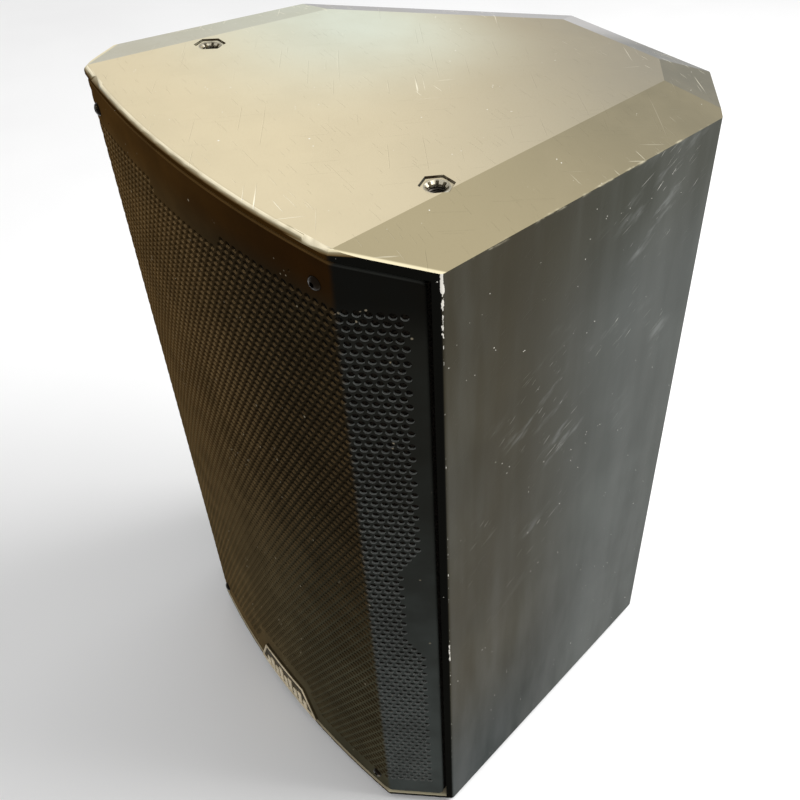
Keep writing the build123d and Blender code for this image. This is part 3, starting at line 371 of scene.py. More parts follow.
def upright_colour(sh):
    """The walls as painted shade of the same lacquer: dark and warm at the front, greyer to the rear; the
    front rims are darker still.
    """
    # painted light: the walls turn greyer and brighter towards the rear
    side = sh.fade(sh.y, -0.1, 0.05, (58, 54, 42), (76, 79, 76))
    high = sh.fade(sh.y, -0.1, 0.05, (54, 50, 38), (59, 60, 53))
    side = sh.fade(sh.z, 0.48, 0.6, side, high)
    low = sh.both(sh.ramp(sh.z, 0.22, 0.02), sh.ramp(sh.y, 0.08, -0.1))
    side = sh.mix(low, side, (37, 43, 43))
    smear = sh.drawn((30, 30, 4), 3, 0.6)
    cloud = sh.noise(9, 3, 0.6)
    side = sh.mix(sh.ramp(smear, 0.35, 0.75, 0.0, 0.22), side, (100, 102, 98))
    side = sh.mix(sh.ramp(cloud, 0.3, 0.7, 0.22, 0.0), side, (34, 33, 29))
    # painted shade: the front rims, dark brown over the bow and near black on the flanks
    rim = sh.mix(on_flanks(sh), (50, 32, 10), (16, 16, 14))
    return sh.fade(sh.ny, -0.35, -0.6, side, rim)


def base_coat(sh):
    """The lid's and the walls' colours, joined over the rounded edge by painted shade, with a painted
    highlight along the edge at the front.
    """
    # painted shade: a mid brown over the rounded edge, between the lit top and the shaded walls
    fold = sh.fade(sh.nz, 0.2, 0.75, (104, 84, 52), lid_colour(sh))
    paint = sh.fade(sh.nz, 0.12, 0.3, upright_colour(sh), fold)
    # painted highlight: a pale line along the rounded front edge of the top
    edge = sh.both(sh.ramp(sh.nz, 0.66, 0.8), sh.ramp(sh.nz, 0.985, 0.95), sh.ramp(sh.ny, -0.12, -0.2))
    painted_highlight = sh.both(edge, sh.ramp(sh.noise(60, 2), 0.3, 0.6, 0.45, 0.95))
    return sh.mix(painted_highlight, paint, (232, 222, 194))


def edge_chips(sh):
    """White chips along the upright front corners: thick at the top, in dashes further down."""
    corner = sh.both(
        sh.ramp(sh.ny, -0.03, -0.12), sh.ramp(sh.ny, -0.68, -0.6), sh.ramp(sh.nz, 0.7, 0.4),
        sh.ramp(sh.size_of(sh.x), 0.16, 0.17),
    )
    ragged = sh.drawn((420, 420, 170), 4, 0.7)
    off_edge = sh.size_of(sh.plus(sh.ny, 0.38))
    ragged = sh.minus(ragged, sh.both(off_edge, 0.9))
    wide = sh.ramp(sh.z, 0.590, 0.600, 0.0, 0.3)
    dashes = sh.ramp(sh.z, 0.540, 0.575, 0.0, 0.17)
    clusters = sh.ramp(sh.noise(22, 1), 0.5, 0.6, 0.0, 0.15)
    lower = sh.both(sh.ramp(sh.z, 0.15, 0.2), sh.ramp(sh.z, 0.42, 0.34), clusters)
    amount = sh.plus(sh.either(wide, dashes, lower), ragged)
    return sh.both(corner, sh.ramp(amount, 0.6, 0.64))


def flank_line(sh):
    """A pale painted highlight along the line where the top meets the front's flanks."""
    reach = sh.size_of(sh.x)
    out = sh.both(sh.minus(reach, CREASE_X), sin(FLANK_ANGLE))
    back = sh.both(sh.minus(sh.y, CREASE_Y), cos(FLANK_ANGLE))
    edge = sh.ramp(sh.minus(out, back), -0.0030, -0.0014)
    return sh.both(edge, sh.ramp(sh.nz, 0.6, 0.85), sh.ramp(reach, CREASE_X - 0.004, CREASE_X))


def worn_lines(sh):
    """The paler line where the top's bevel meets the walls."""
    lean = sh.both(sh.plus(sh.y, -OUTER_Y), tan(SIDE_TAPER))
    reach = sh.plus(sh.size_of(sh.x), lean)
    on_bevel = sh.both(sh.ramp(reach, OUTER_X - 0.0016, OUTER_X - 0.0004), sh.ramp(sh.nz, 0.6, 0.9))
    on_wall = sh.both(
        sh.ramp(sh.z, 0.6085, 0.6105), sh.ramp(sh.nz, 0.9, 0.6), sh.ramp(sh.y, OUTER_Y, OUTER_Y + 0.004)
    )
    along = sh.drawn((60, 60, 240), 3, 0.65)
    return sh.both(sh.either(on_bevel, on_wall), sh.ramp(along, 0.48, 0.7, 0.0, 0.6))


def scratches(sh):
    """Fine scratches: crossed ones on the top, slanting ones on the walls."""
    top = sh.either(
        sh.streaks((16, 900, 1), "Z_AXIS", 34, 0.80, 0.84),
        sh.streaks((26, 1100, 1), "Z_AXIS", -62, 0.80, 0.84),
        sh.streaks((60, 1300, 1), "Z_AXIS", 8, 0.79, 0.83),
    )
    wall = sh.either(
        sh.streaks((1, 34, 1000), "X_AXIS", -24, 0.80, 0.85),
        sh.streaks((1, 70, 1200), "X_AXIS", -38, 0.80, 0.85),
        sh.streaks((1, 16, 700), "X_AXIS", -16, 0.84, 0.90),
    )
    return sh.both(top, sh.ramp(sh.nz, 0.6, 0.9)), sh.both(wall, sh.ramp(sh.nz, 0.6, 0.2))


def handled_area(sh):
    """Where the walls are rubbed most: patches in a band that slants down towards the front."""
    off_band = sh.size_of(sh.minus(sh.minus(sh.z, sh.y), 0.44))
    return sh.both(
        sh.ramp(sh.noise(9, 2), 0.40, 0.52),
        sh.ramp(off_band, 0.15, 0.06),
        sh.ramp(sh.z, 0.2, 0.36),
        sh.ramp(sh.size_of(sh.y), 0.13, 0.09),
        sh.ramp(sh.ny, -0.3, -0.1),
    )


def cabinet_paint():
    """Semi-gloss lacquer with a fine texture, chipped and scratched; it is pale on top and dark on the
    walls as painted light and shade.
    """
    sh = Shader("cabinet_paint")
    top_lines, wall_lines = scratches(sh)
    handled = handled_area(sh)
    wipes = sh.ramp(sh.drawn((1, 16, 60), 4, 0.65, "X_AXIS", -28), 0.54, 0.72, 0.0, 0.30)
    chips = edge_chips(sh)
    paint = sh.layered(
        # the lacquer's painted light and shade, pale on top and dark on the walls
        base_coat(sh),
        (sh.both(top_lines, sh.ramp(sh.noise(7, 2), 0.5, 0.66)), (232, 226, 205)),
        (sh.both(wipes, handled, sh.ramp(sh.nz, 0.3, 0.1)), (150, 152, 150)),
        (sh.both(wall_lines, handled), (190, 188, 180)),
        (sh.either(specks(sh, 260, 0.13, 0.66), specks(sh, 75, 0.06, 0.62)), (214, 211, 202)),
        (worn_lines(sh), (196, 188, 162)),
        # painted highlight where the top meets the flanks
        (flank_line(sh), (206, 196, 164)),
        (chips, (222, 218, 208)),
    )

    texture = sh.plus(sh.noise(420, 2), sh.both(sh.noise(1500, 1), 0.6))
    normal = sh.bump(texture, 0.10, 0.0005)
    cuts = sh.both(sh.either(chips, wall_lines, top_lines), -1.0)
    normal = sh.bump(cuts, 0.5, 0.0003, normal)
    gloss = sh.drawn((26, 26, 5), 3, 0.6)
    rough = sh.mix(chips, sh.ramp(gloss, 0.3, 0.7, 0.36, 0.52), [0.85, 0.85, 0.85])
    return sh.finish(paint, rough, normal, specular=sh.ramp(sh.ny, -0.4, -0.2, 0.0, 0.03))


# ---------- the grille's powder coat ----------

def bow_tone(sh):
    """The bow's brown as a painted sheen, paler to the left and below, with a painted sheen of its own in
    the plain band on top.
    """
    band = sh.fade(sh.x, -0.145, 0.13, (74, 52, 24), (40, 24, 8))
    upper = sh.fade(sh.x, -0.145, 0.10, (84, 64, 36), (36, 30, 20))
    lower = sh.fade(sh.x, -0.145, 0.10, (100, 82, 54), (66, 63, 49))
    field = sh.fade(sh.z, 0.42, 0.12, upper, lower)
    return sh.fade(sh.z, 0.600, 0.570, band, field)


def flank_tone(sh):
    """The flanks' near black as painted shade, darkest in their plain top."""
    tone = sh.fade(sh.z, 0.5, 0.05, (33, 34, 31), (62, 66, 64))
    return sh.fade(sh.z, 0.55, 0.59, tone, (18, 18, 16))


def hole_walls(sh, flanks):
    """A painted highlight: the mask and the paler colour of the holes' walls that face up."""
    bow = sh.fade(sh.z, 0.5, 0.12, (150, 124, 86), (96, 84, 60))
    bow = sh.mix(sh.ramp(sh.x, -0.02, 0.13, 0.0, 0.6), bow, (62, 52, 36))
    lit = sh.mix(flanks, sh.ramp(sh.nz, 0.35, 0.8), sh.ramp(sh.nz, 0.02, 0.4))
    return sh.both(lit, sh.ramp(sh.z, 0.592, 0.588)), sh.mix(flanks, bow, (124, 126, 123))


def grille_paint():
    """Fine powder coat, brown over the bow as a painted sheen, near black on the flanks as painted shade,
    with painted highlights inside the holes.
    """
    sh = Shader("grille_paint")
    flanks = on_flanks(sh)
    # painted highlight along the sheet's rounded top fold
    fold = sh.mix(flanks, (96, 72, 40), (48, 49, 46))
    colour = sh.layered(
        sh.mix(flanks, bow_tone(sh), flank_tone(sh)),
        hole_walls(sh, flanks),
        (sh.both(sh.ramp(sh.nz, 0.3, 0.7), sh.ramp(sh.z, 0.596, 0.600)), fold),
        (sh.uneven(35, 3, 0.0, 0.25), (20, 15, 9)),
        (sh.both(specks(sh, 170, 0.18, 0.63), 0.6), (150, 140, 120)),
    )
    normal = sh.bump(sh.noise(1600, 2), 0.18, 0.0003)
    return sh.finish(colour, sh.uneven(60, 3, 0.36, 0.5), normal, specular=0.0)


# ---------- other materials ----------

def grained(name, colour, roughness, scale=600, strength=0.12, depth=0.0003, metallic=0.0,
            specular=0.5, dust=0.0, wear_and_glint=None):
    """A material with uneven tone and gloss, a fine grain, and dust or pale spots where asked; the pale
    spots are rubbed wear, and on the screw heads a painted glint.
    """
    sh = Shader(name)
    base = srgb(colour)
    dark = [c * 0.78 for c in base]
    light = [min(1, c * 1.22) for c in base]
    scratched = [min(1, c * 2.2 + 0.02) for c in base]
    tint = sh.mix(sh.uneven(40, 3), dark, light)
    if wear_and_glint:
        # pale spots: rubbed wear, and on the screw heads a painted glint
        wear_and_glint_mask = sh.ramp(sh.noise(95, 4, 0.7), 0.60, 0.68, 0.0, 0.7)
        tint = sh.mix(wear_and_glint_mask, tint, wear_and_glint)
    if dust:
        tint = sh.mix(sh.both(specks(sh, 150, 0.2, 0.58), dust), tint, (190, 186, 176))
    lines = sh.either(
        sh.streaks((30, 700, 30), "Z_AXIS", 25, 0.74, 0.79),
        sh.streaks((30, 30, 700), "X_AXIS", -30, 0.74, 0.79),
    )
    tint = sh.mix(sh.both(lines, 0.35), tint, scratched)
    normal = sh.bump(sh.noise(scale, 2), strength, depth)
    rough = sh.uneven(90, 3, roughness * 0.82, min(1, roughness * 1.18))
    return sh.finish(tint, rough, normal, metallic, specular)


def plywood():
    """Birch plywood: thin plies across its thickness, long grain on its faces."""
    sh = Shader("bare_plywood")
    grain = sh.drawn((14, 14, 260), 4, 0.6)
    colour = sh.fade(grain, 0.3, 0.7, (96, 70, 44), (150, 118, 80))
    plies = sh.ramp(sh.wave(sh.y, 0.0028), -0.2, 0.2, 0.0, 0.6)
    edge = sh.ramp(sh.size_of(sh.ny), 0.8, 0.5)
    colour = sh.mix(sh.both(plies, edge), colour, (70, 46, 28))
    normal = sh.bump(grain, 0.3, 0.0005)
    return sh.finish(colour, sh.ramp(grain, 0.3, 0.7, 0.6, 0.8), normal, specular=0.3)


def foam():
    """Open-cell foam."""
    sh = Shader("black_foam")
    pores = sh.cells(650)
    colour = sh.fade(pores, 0.2, 0.7, (6, 5, 4), (26, 22, 17))
    return sh.finish(colour, sh.uneven(50, 2, 0.9, 1.0), sh.bump(pores, 0.9, 0.0012), specular=0.05)


def paper_cone():
    """Pressed paper pulp with long fibres."""
    sh = Shader("paper_cone")
    fibres = sh.drawn((500, 120, 240), 4, 0.7, "Y_AXIS", 30)
    colour = sh.fade(fibres, 0.35, 0.7, (26, 24, 22), (52, 49, 45))
    normal = sh.bump(fibres, 0.6, 0.0006)
    return sh.finish(colour, sh.ramp(fibres, 0.3, 0.7, 0.75, 0.92), normal, specular=0.2)


def woven_cloth():
    """Doped cotton cloth: a plain weave."""
    sh = Shader("surround_cloth")
    thread = 0.0009
    weave = sh.both(sh.wave(sh.x, thread), sh.wave(sh.z, thread))
    colour = sh.fade(weave, -0.6, 0.6, (20, 18, 16), (46, 42, 38))
    colour = sh.mix(sh.ramp(sh.noise(60, 3), 0.4, 0.7, 0.0, 0.5), colour, (60, 54, 46))
    return sh.finish(colour, sh.uneven(80, 2, 0.7, 0.9), sh.bump(weave, 0.5, 0.0004), specular=0.2)


def wound_copper():
    """Enamelled copper turns on an amber former."""
    sh = Shader("copper_coil")
    turns = sh.wave(sh.y, 0.0005)
    colour = sh.fade(turns, -0.7, 0.7, (120, 62, 28), (202, 122, 66))
    colour = sh.mix(sh.ramp(sh.noise(120, 3), 0.4, 0.7, 0.0, 0.4), colour, (96, 52, 26))
    rough = sh.ramp(turns, -0.5, 0.5, 0.4, 0.25)
    return sh.finish(colour, rough, sh.bump(turns, 0.6, 0.0003), metallic=0.8)


def turned_metal(name, colour, roughness):
    """Plated metal with fine turning marks and a few dull stains."""
    sh = Shader(name)
    base = srgb(colour)
    marks = sh.drawn((700, 40, 700), 2)
    tint = sh.fade(marks, 0.3, 0.7, [c * 0.7 for c in base], base)
    stain = sh.ramp(sh.noise(70, 4, 0.7), 0.55, 0.7, 0.0, 0.7)
    tint = sh.mix(stain, tint, [c * 0.35 for c in base])
    rough = sh.uneven(110, 3, roughness * 0.7, roughness * 1.4)
    return sh.finish(tint, rough, sh.bump(marks, 0.25, 0.0002), metallic=1.0)


def circuit_board():
    """Green solder mask over copper tracks, with tinned pads."""
    sh = Shader("circuit_board")
    tracks = sh.either(
        sh.ramp(sh.wave(sh.x, 0.004), 0.55, 0.7),
        sh.ramp(sh.wave(sh.z, 0.006), 0.7, 0.8),
    )
    patch = sh.ramp(sh.cells(55, "Color"), 0.4, 0.6)
    colour = sh.mix(sh.both(tracks, patch), (18, 78, 40), (44, 132, 70))
    pads = sh.ramp(sh.cells(260), 0.16, 0.12)
    colour = sh.mix(pads, colour, (196, 190, 176))
    return sh.finish(colour, sh.ramp(pads, 0, 1, 0.35, 0.25), sh.bump(tracks, 0.3, 0.0002))


def wound_tape():
    """Overlapping turns of polyester tape round the ring transformer."""
    sh = Shader("transformer_tape")
    low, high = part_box("power_transformer")
    across, along = sh.minus(sh.x, (low[0] + high[0]) / 2), sh.minus(sh.y, (low[1] + high[1]) / 2)
    angle = sh.maths("ARCTAN2", along, across)
    laps = sh.maths("FRACT", sh.plus(sh.both(angle, 36 / pi), sh.both(sh.z, 60)))
    colour = sh.fade(laps, 0.0, 1.0, (168, 138, 44), (206, 176, 82))
    colour = sh.fade(laps, 0.94, 1.0, colour, (104, 82, 26))
    return sh.finish(colour, sh.uneven(60, 2, 0.3, 0.45), sh.bump(laps, 0.4, 0.0004))


def wadding():
    """Loose polyester fibre."""
    sh = Shader("wadding")
    fibres = sh.drawn((240, 240, 60), 6, 0.75, "X_AXIS", 20)
    colour = sh.fade(fibres, 0.3, 0.7, (176, 174, 166), (236, 234, 226))
    rough = sh.ramp(fibres, 0.3, 0.7, 0.85, 1.0)
    return sh.finish(colour, rough, sh.bump(fibres, 0.9, 0.003), specular=0.1)


def lens():
    """Four tinted lenses: red at the top, then two amber ones, then green."""
    sh = Shader("status_lens")
    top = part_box("status_lights")[1][2]
    colour = sh.fade(sh.z, top - 0.007, top - 0.005, (196, 130, 36), (176, 36, 28))
    colour = sh.fade(sh.z, top - 0.016, top - 0.018, colour, (52, 150, 62))
    colour = sh.mix(sh.uneven(500, 2, 0.0, 0.3), colour, (30, 30, 26))
    return sh.finish(colour, sh.uneven(300, 2, 0.12, 0.25), sh.bump(sh.noise(700), 0.05, 0.0002))


# colours are in 0 to 255; scale, strength and depth shape the grain
GRAINED = {
    # the pale spots on the dark screw heads are a painted glint
    "screw_steel": dict(colour=(24, 19, 14), roughness=0.24, metallic=1.0, wear_and_glint=(176, 156, 116)),
    "badge_enamel": dict(colour=(200, 186, 158), roughness=0.4, scale=900, dust=0.3, specular=0.1),
    "badge_ground": dict(colour=(58, 50, 32), roughness=0.5, scale=900, dust=0.2, specular=0.05),
    # painted shade: the threads are dark to stand for the shade down the bore
    "shaded_thread": dict(colour=(44, 38, 30), roughness=0.45, scale=900, metallic=0.5),
    "black_steel": dict(
        colour=(30, 30, 30), roughness=0.45, scale=900, strength=0.2, wear_and_glint=(84, 82, 78), dust=0.4
    ),
    "rubber": dict(colour=(26, 26, 25), roughness=0.82, scale=500, strength=0.3, dust=0.5, specular=0.3),
    "cast_frame": dict(
        colour=(32, 33, 34), roughness=0.5, scale=750, strength=0.45, depth=0.0004, dust=0.3
    ),
    "ferrite": dict(colour=(48, 48, 50), roughness=0.65, scale=350, strength=0.4, wear_and_glint=(82, 82, 84)),
    "black_plastic": dict(colour=(27, 27, 28), roughness=0.52, scale=1200, strength=0.3, dust=0.4),
    "capacitor_sleeve": dict(colour=(30, 36, 62), roughness=0.35, scale=300, wear_and_glint=(70, 78, 110)),
    "control_plastic": dict(
        colour=(62, 62, 64), roughness=0.45, scale=1100, strength=0.25, wear_and_glint=(104, 104, 104)
    ),
    "panel_print": dict(colour=(206, 206, 200), roughness=0.6, scale=900),
}


def make_materials():
    """One material for every slot in the record, and the badge's, the threads' and the panel's own."""
    made = {name: grained(name, **finish) for name, finish in GRAINED.items()}
    made.update(
        cabinet_paint=cabinet_paint(),
        bare_plywood=plywood(),
        grille_paint=grille_paint(),
        black_foam=foam(),
        insert_steel=turned_metal("insert_steel", (204, 196, 176), 0.4),
        surround_cloth=woven_cloth(),
        paper_cone=paper_cone(),
        copper_coil=wound_copper(),
        plated_steel=turned_metal("plated_steel", (186, 184, 178), 0.3),
        titanium=turned_metal("titanium", (176, 170, 164), 0.35),
        circuit_board=circuit_board(),
        transformer_tape=wound_tape(),
        status_lens=lens(),
        wadding=wadding(),
    )
    return made


def dress_frame(materials):
    """Gives every CAD node the material of its slot."""
    for entry in frame["record"]["subparts"]:
        node = frame["nodes"][entry["node"]]
        node.data.materials.clear()
        node.data.materials.append(materials[entry["material_slot"]])


# ---------- perforated grille ----------

BOW_CENTRE_Y = FRONT_Y + BOW_RADIUS
FACE_RADIUS = BOW_RADIUS - GRILLE_SETBACK
BEND_RADIUS = 0.008
FOLD_RADIUS, FOLD_STEPS = 0.002, 4
CORNER_RADIUS, CORNER_STEPS = 0.003, 5
DIMPLE_RADIUS, DIMPLE_X, DIMPLE_Z = 0.0010, 0.1105, TOP - 0.0291


def face_crease():
    """The crease of the grille's face, where its bow and its flank would meet unbent."""
    inward = Vector((-sin(FLANK_ANGLE), cos(FLANK_ANGLE))) * GRILLE_SETBACK
    start = Vector((CREASE_X, CREASE_Y)) + inward
    along = Vector((cos(FLANK_ANGLE), sin(FLANK_ANGLE)))
    offset = start - Vector((0, BOW_CENTRE_Y))
    half_b = offset.dot(along)
    root = sqrt(half_b**2 - offset.length_squared + FACE_RADIUS**2)
    return start + along * min(-half_b - root, root - half_b, key=abs)


CREASE = face_crease()
CREASE_U = asin(CREASE.x / FACE_RADIUS) * FACE_RADIUS
BEND_START = CREASE_U - BEND_RADIUS * tan((FLANK_ANGLE - CREASE_U / FACE_RADIUS) / 2)
BEND_TURN = FLANK_ANGLE - BEND_START / FACE_RADIUS


def on_face(u, z, depth=0.0):
    """The point of the sheet that lies u from its middle when it is laid flat, depth behind its face."""
    side, reach = (-1 if u < 0 else 1), abs(u)
    turn = min(reach, BEND_START) / FACE_RADIUS
    outward = Vector((sin(turn), -cos(turn)))
    point = Vector((0, BOW_CENTRE_Y)) + outward * (FACE_RADIUS - depth)
    if reach > BEND_START:
        run = reach - BEND_START
        centre = Vector((0, BOW_CENTRE_Y)) + outward * (FACE_RADIUS - BEND_RADIUS)
        heading = turn + min(run / BEND_RADIUS, BEND_TURN)
        straight = max(0.0, run - BEND_TURN * BEND_RADIUS)
        point = centre + Vector((sin(heading), -cos(heading))) * (BEND_RADIUS - depth)
        point += Vector((cos(heading), sin(heading))) * straight
    return Vector((side * point.x, point.y, z))


STRAIGHT_START = BEND_START + BEND_TURN * BEND_RADIUS
STRAIGHT_RUN = OUTER_X - RIM_SIDE - GRILLE_GAP - on_face(STRAIGHT_START, 0).x
FACE_HALF = STRAIGHT_START + STRAIGHT_RUN / cos(FLANK_ANGLE)


def hole_radius(row, u, z):
    """The radius of the hole punched in the cell at (u, z), or 0.

    Holes keep clear of the flanks' waist, the badge and a tab at the middle of the top."""
    reach = abs(u)
    if abs(z - DIMPLE_Z) < ROW_PITCH / 2 and abs(reach - DIMPLE_X) < HOLE_PITCH / 2:
        return DIMPLE_RADIUS
    if not 0 <= row < ROWS:
        return 0.0
    widest = 28.4 * HOLE_PITCH
    waist_low, waist_high, waist_slope, waist_holes = 0.248, 0.379, 0.010, 2.0
    if waist_low < z < waist_high:
        widest -= min(waist_holes, min(z - waist_low, waist_high - z) / waist_slope) * HOLE_PITCH
    tab_rows, tab_half = 2, 0.044 if row == 0 else 0.0415
    badge_foot, badge_top, badge_slope = 0.025, 0.0735, 0.35
    badge_reach = 0.058 - max(0.0, z - badge_foot) * badge_slope
    in_tab = row < tab_rows and reach < tab_half
    in_badge = z < badge_top and reach < badge_reach
    return 0.0 if reach > widest or in_tab or in_badge else HOLE_RADIUS


def edge_normal(start, end):
    """The outward direction of an anticlockwise outline's edge."""
    along = (end - start).normalized()
    return Vector((along.y, -along.x))


def rounded(corners, radii):
    """An anticlockwise outline with its corners rounded."""
    outline = []
    for index, (corner, radius) in enumerate(zip(corners, radii)):
        before = edge_normal(corners[index - 1], corner)
        after = edge_normal(corner, corners[(index + 1) % len(corners)])
        if not radius:
            outline.append(corner)
            continue
        centre = corner - (before + after) * radius / (1 + before.dot(after))
        for step in range(CORNER_STEPS + 1):
            outline.append(centre + before.lerp(after, step / CORNER_STEPS).normalized() * radius)
    return outline


def sheet_outline():
    """The edge of the grille's flat pattern where its folds begin."""
    half, level = FACE_HALF - FOLD_RADIUS, TOP - RIM - GRILLE_GAP - FOLD_RADIUS
    slope = BEVEL_DROP / (OUTER_X - CREASE_X) * cos(FLANK_ANGLE)
    shoulder = level - slope * (half - CREASE_U)
    foot = BOTTOM + RIM + GRILLE_GAP + FOLD_RADIUS
    right = [(half, foot), (half, shoulder), (CREASE_U, level)]
    left = [(-u, z) for u, z in reversed(right)]
    radii = [CORNER_RADIUS, CORNER_RADIUS, 0]
    return rounded([Vector(corner) for corner in right + left], radii + radii[::-1])


def clipped(polygon, start, end):
    """A polygon cut by an edge of the outline; what lies inside stays."""
    normal = edge_normal(start, end)
    kept = []
    for here, there in zip(polygon, polygon[1:] + polygon[:1]):
        a, b = (start - here).dot(normal), (start - there).dot(normal)
        if a >= 0:
            kept.append(here)
        if a * b < 0:
            kept.append(here.lerp(there, a / (a - b)))
    return kept


class FlatPattern:
    """The grille's flat pattern: points in (u, z) and the faces between them."""

    STEPS_PER_METRE, STEP_OFFSET = 1e6, 0.37

    def __init__(self):
        self.points, self.index, self.faces = [], {}, []

    def vertex(self, point):
        """A point's number; points in one square of a micrometre grid are one point."""
        key = tuple(floor(value * self.STEPS_PER_METRE + self.STEP_OFFSET) for value in point)
        if key not in self.index:
            self.index[key] = len(self.points)
            self.points.append(point.copy())
        return self.index[key]

    def add(self, corners):
        face = [self.vertex(corner) for corner in corners]
        face = [index for place, index in enumerate(face) if index != face[place - 1]]
        if len(face) > 2:
            self.faces.append(face)

    def open_edges(self):
        """The directed edges that only one face has."""
        edges = set()
        for face in self.faces:
            for a, b in zip(face, face[1:] + face[:1]):
                edges.add((a, b))
        return [(a, b) for a, b in edges if (b, a) not in edges]


def sheet_pattern(outline):
    """A hexagonal cell for every hole: a ring where it is punched, a whole or clipped cell elsewhere."""
    pattern = FlatPattern()
    edges = list(zip(outline, outline[1:] + outline[:1]))
    turns = [radians(degrees) for degrees in range(0, 361, 30)]
    spokes = [Vector((-sin(turn), cos(turn))) for turn in turns]
    for row in range(-MARGIN_ROWS, ROWS + MARGIN_ROWS):
        z = FIRST_ROW_Z - row * ROW_PITCH
        for column in range(-HALF_COLUMNS, HALF_COLUMNS):
            middle = Vector(((column + row % 2 / 2) * HOLE_PITCH, z))
            hexagon = [middle + spoke * HOLE_PITCH / sqrt(3) for spoke in spokes[::2]]
            radius = hole_radius(row, middle.x, z)
            if radius:
                for side in range(6):
                    inner = [middle + spoke * radius for spoke in spokes[2 * side:2 * side + 3]]
                    pattern.add([hexagon[side], hexagon[side + 1], *reversed(inner)])
                continue
            cell = hexagon[:6]
            for start, end in edges:
                cell = clipped(cell, start, end) if cell else cell
            if len(cell) > 2:
                pattern.add(cell)
    return pattern


def fold_edges(pattern, outline, verts, faces):
    """Adds the rounded folds and the flanges behind the sheet's outline."""
    around = zip(outline, outline[1:] + outline[:1])
    edges = [(start, end, edge_normal(start, end)) for start, end in around]
    on_line, past_end = 2e-6, 1e-9

    def outward(point):
        touching = [
            normal for start, end, normal in edges
            if abs((point - start).dot(normal)) < on_line and (point - start).dot(point - end) < past_end
        ]
        return sum(touching, Vector((0, 0))).normalized() if touching else None

    steps = []
    for step in range(1, FOLD_STEPS + 1):
        turn = pi / 2 * step / FOLD_STEPS
        steps.append((FOLD_RADIUS * sin(turn), FOLD_RADIUS * (1 - cos(turn))))
    steps.append((FOLD_RADIUS, FLANGE))
    chains = {}

    def chain(index):
        if index not in chains:
            point, normal = pattern.points[index], outward(pattern.points[index])
            chains[index] = [index]
            for out, depth in steps:
                chains[index].append(len(verts))
                verts.append(on_face(point.x + normal.x * out, point.y + normal.y * out, depth))
        return chains[index]

    for a, b in sorted(pattern.open_edges()):
        if outward(pattern.points[a]) is None or outward(pattern.points[b]) is None:
            continue
        for low, high in zip(zip(chain(a), chain(b)), zip(chain(a)[1:], chain(b)[1:])):
            faces.append([low[1], low[0], high[0], high[1]])


def build_grille(materials):
    """The folded sheet with its real holes, given its thickness at the end."""
    outline = sheet_outline()
    pattern = sheet_pattern(outline)
    verts = [on_face(point.x, point.y) for point in pattern.points]
    faces = [list(face) for face in pattern.faces]
    fold_edges(pattern, outline, verts, faces)
    obj = mesh_object("grille_sheet", verts, faces)
    thick = obj.modifiers.new("thickness", "SOLIDIFY")
    thick.thickness = SHEET
    thick.offset = -1
    view = bpy.context.evaluated_depsgraph_get()
    solid = bpy.data.meshes.new_from_object(obj.evaluated_get(view))
    obj.modifiers.clear()
    obj.data = solid
    solid.shade_smooth()
    solid.set_sharp_from_angle(angle=radians(32))
    solid.materials.clear()
    solid.materials.append(materials["grille_paint"])
    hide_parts("grille")
    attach(obj, "cabinet")


# ---------- screws ----------

def screw_profile(head, rise, recess, recess_depth, shank, length, domed):
    """A screw's (radius, height) pairs from its tip round to the bottom of its recess."""
    profile = [(0, -length), (shank * 0.55, -length + 0.001), (shank, -length + 0.004), (shank, 0)]
    if domed:
        profile += [(head * 0.96, 0), (head, rise * 0.12)]
        for share in (0.35, 0.6, 0.8):
            profile.append((head * sqrt(1 - share**2 * 0.75), rise * share))
    else:
        profile[-1] = (shank, -rise)
        profile += [(head * 0.97, -rise * 0.12), (head, 0)]
    top = rise if domed else 0.0
    profile.append((lambda angle: recess(angle) * 1.12, top))
    profile += [(recess, top - rise * 0.12), (recess, top - recess_depth)]
    return profile + [(0, top - recess_depth * 1.15)]


def bow_plane(x, z):
    """A plane on the grille's bowed face."""
    turn = asin(x / FACE_RADIUS)
    normal = Vector((sin(turn), -cos(turn), 0))
    return place_on(Vector((0, BOW_CENTRE_Y, z)) + normal * FACE_RADIUS, normal, (0, 0, 1))


def grille_screws(materials):
    """Four button-head screws with a hexagon socket."""
    shape = Shape()
    profile = screw_profile(
        head=0.0046, rise=0.0024, recess=hexagon_radius(0.0031), recess_depth=0.0014,
        shank=0.0021, length=0.029, domed=True,
    )
    for x in (-GRILLE_SCREW_X, GRILLE_SCREW_X):
        for z in (BOTTOM + GRILLE_SCREW_DROP, TOP - GRILLE_SCREW_DROP):
            shape.turn(profile, bow_plane(x, z), 48)
    shape.finish(
        "grille_button_screws", [materials["screw_steel"]], replaces=["grille_screws"], slot="screw_steel"
    )


def solids_of(node):
    """The points of each separate solid in a node's mesh."""
    mesh = frame["nodes"][node].data
    parent = list(range(len(mesh.vertices)))

    def root(index):
        while parent[index] != index:
            parent[index] = parent[parent[index]]
            index = parent[index]
        return index

    spots = {}
    for vertex in mesh.vertices:
        key = tuple(round(c, 6) for c in vertex.co)
        parent[vertex.index] = root(spots.setdefault(key, vertex.index))
    for edge in mesh.edges:
        parent[root(edge.vertices[0])] = root(edge.vertices[1])
    groups = {}
    for vertex in mesh.vertices:
        groups.setdefault(root(vertex.index), []).append(vertex.co)
    return list(groups.values())


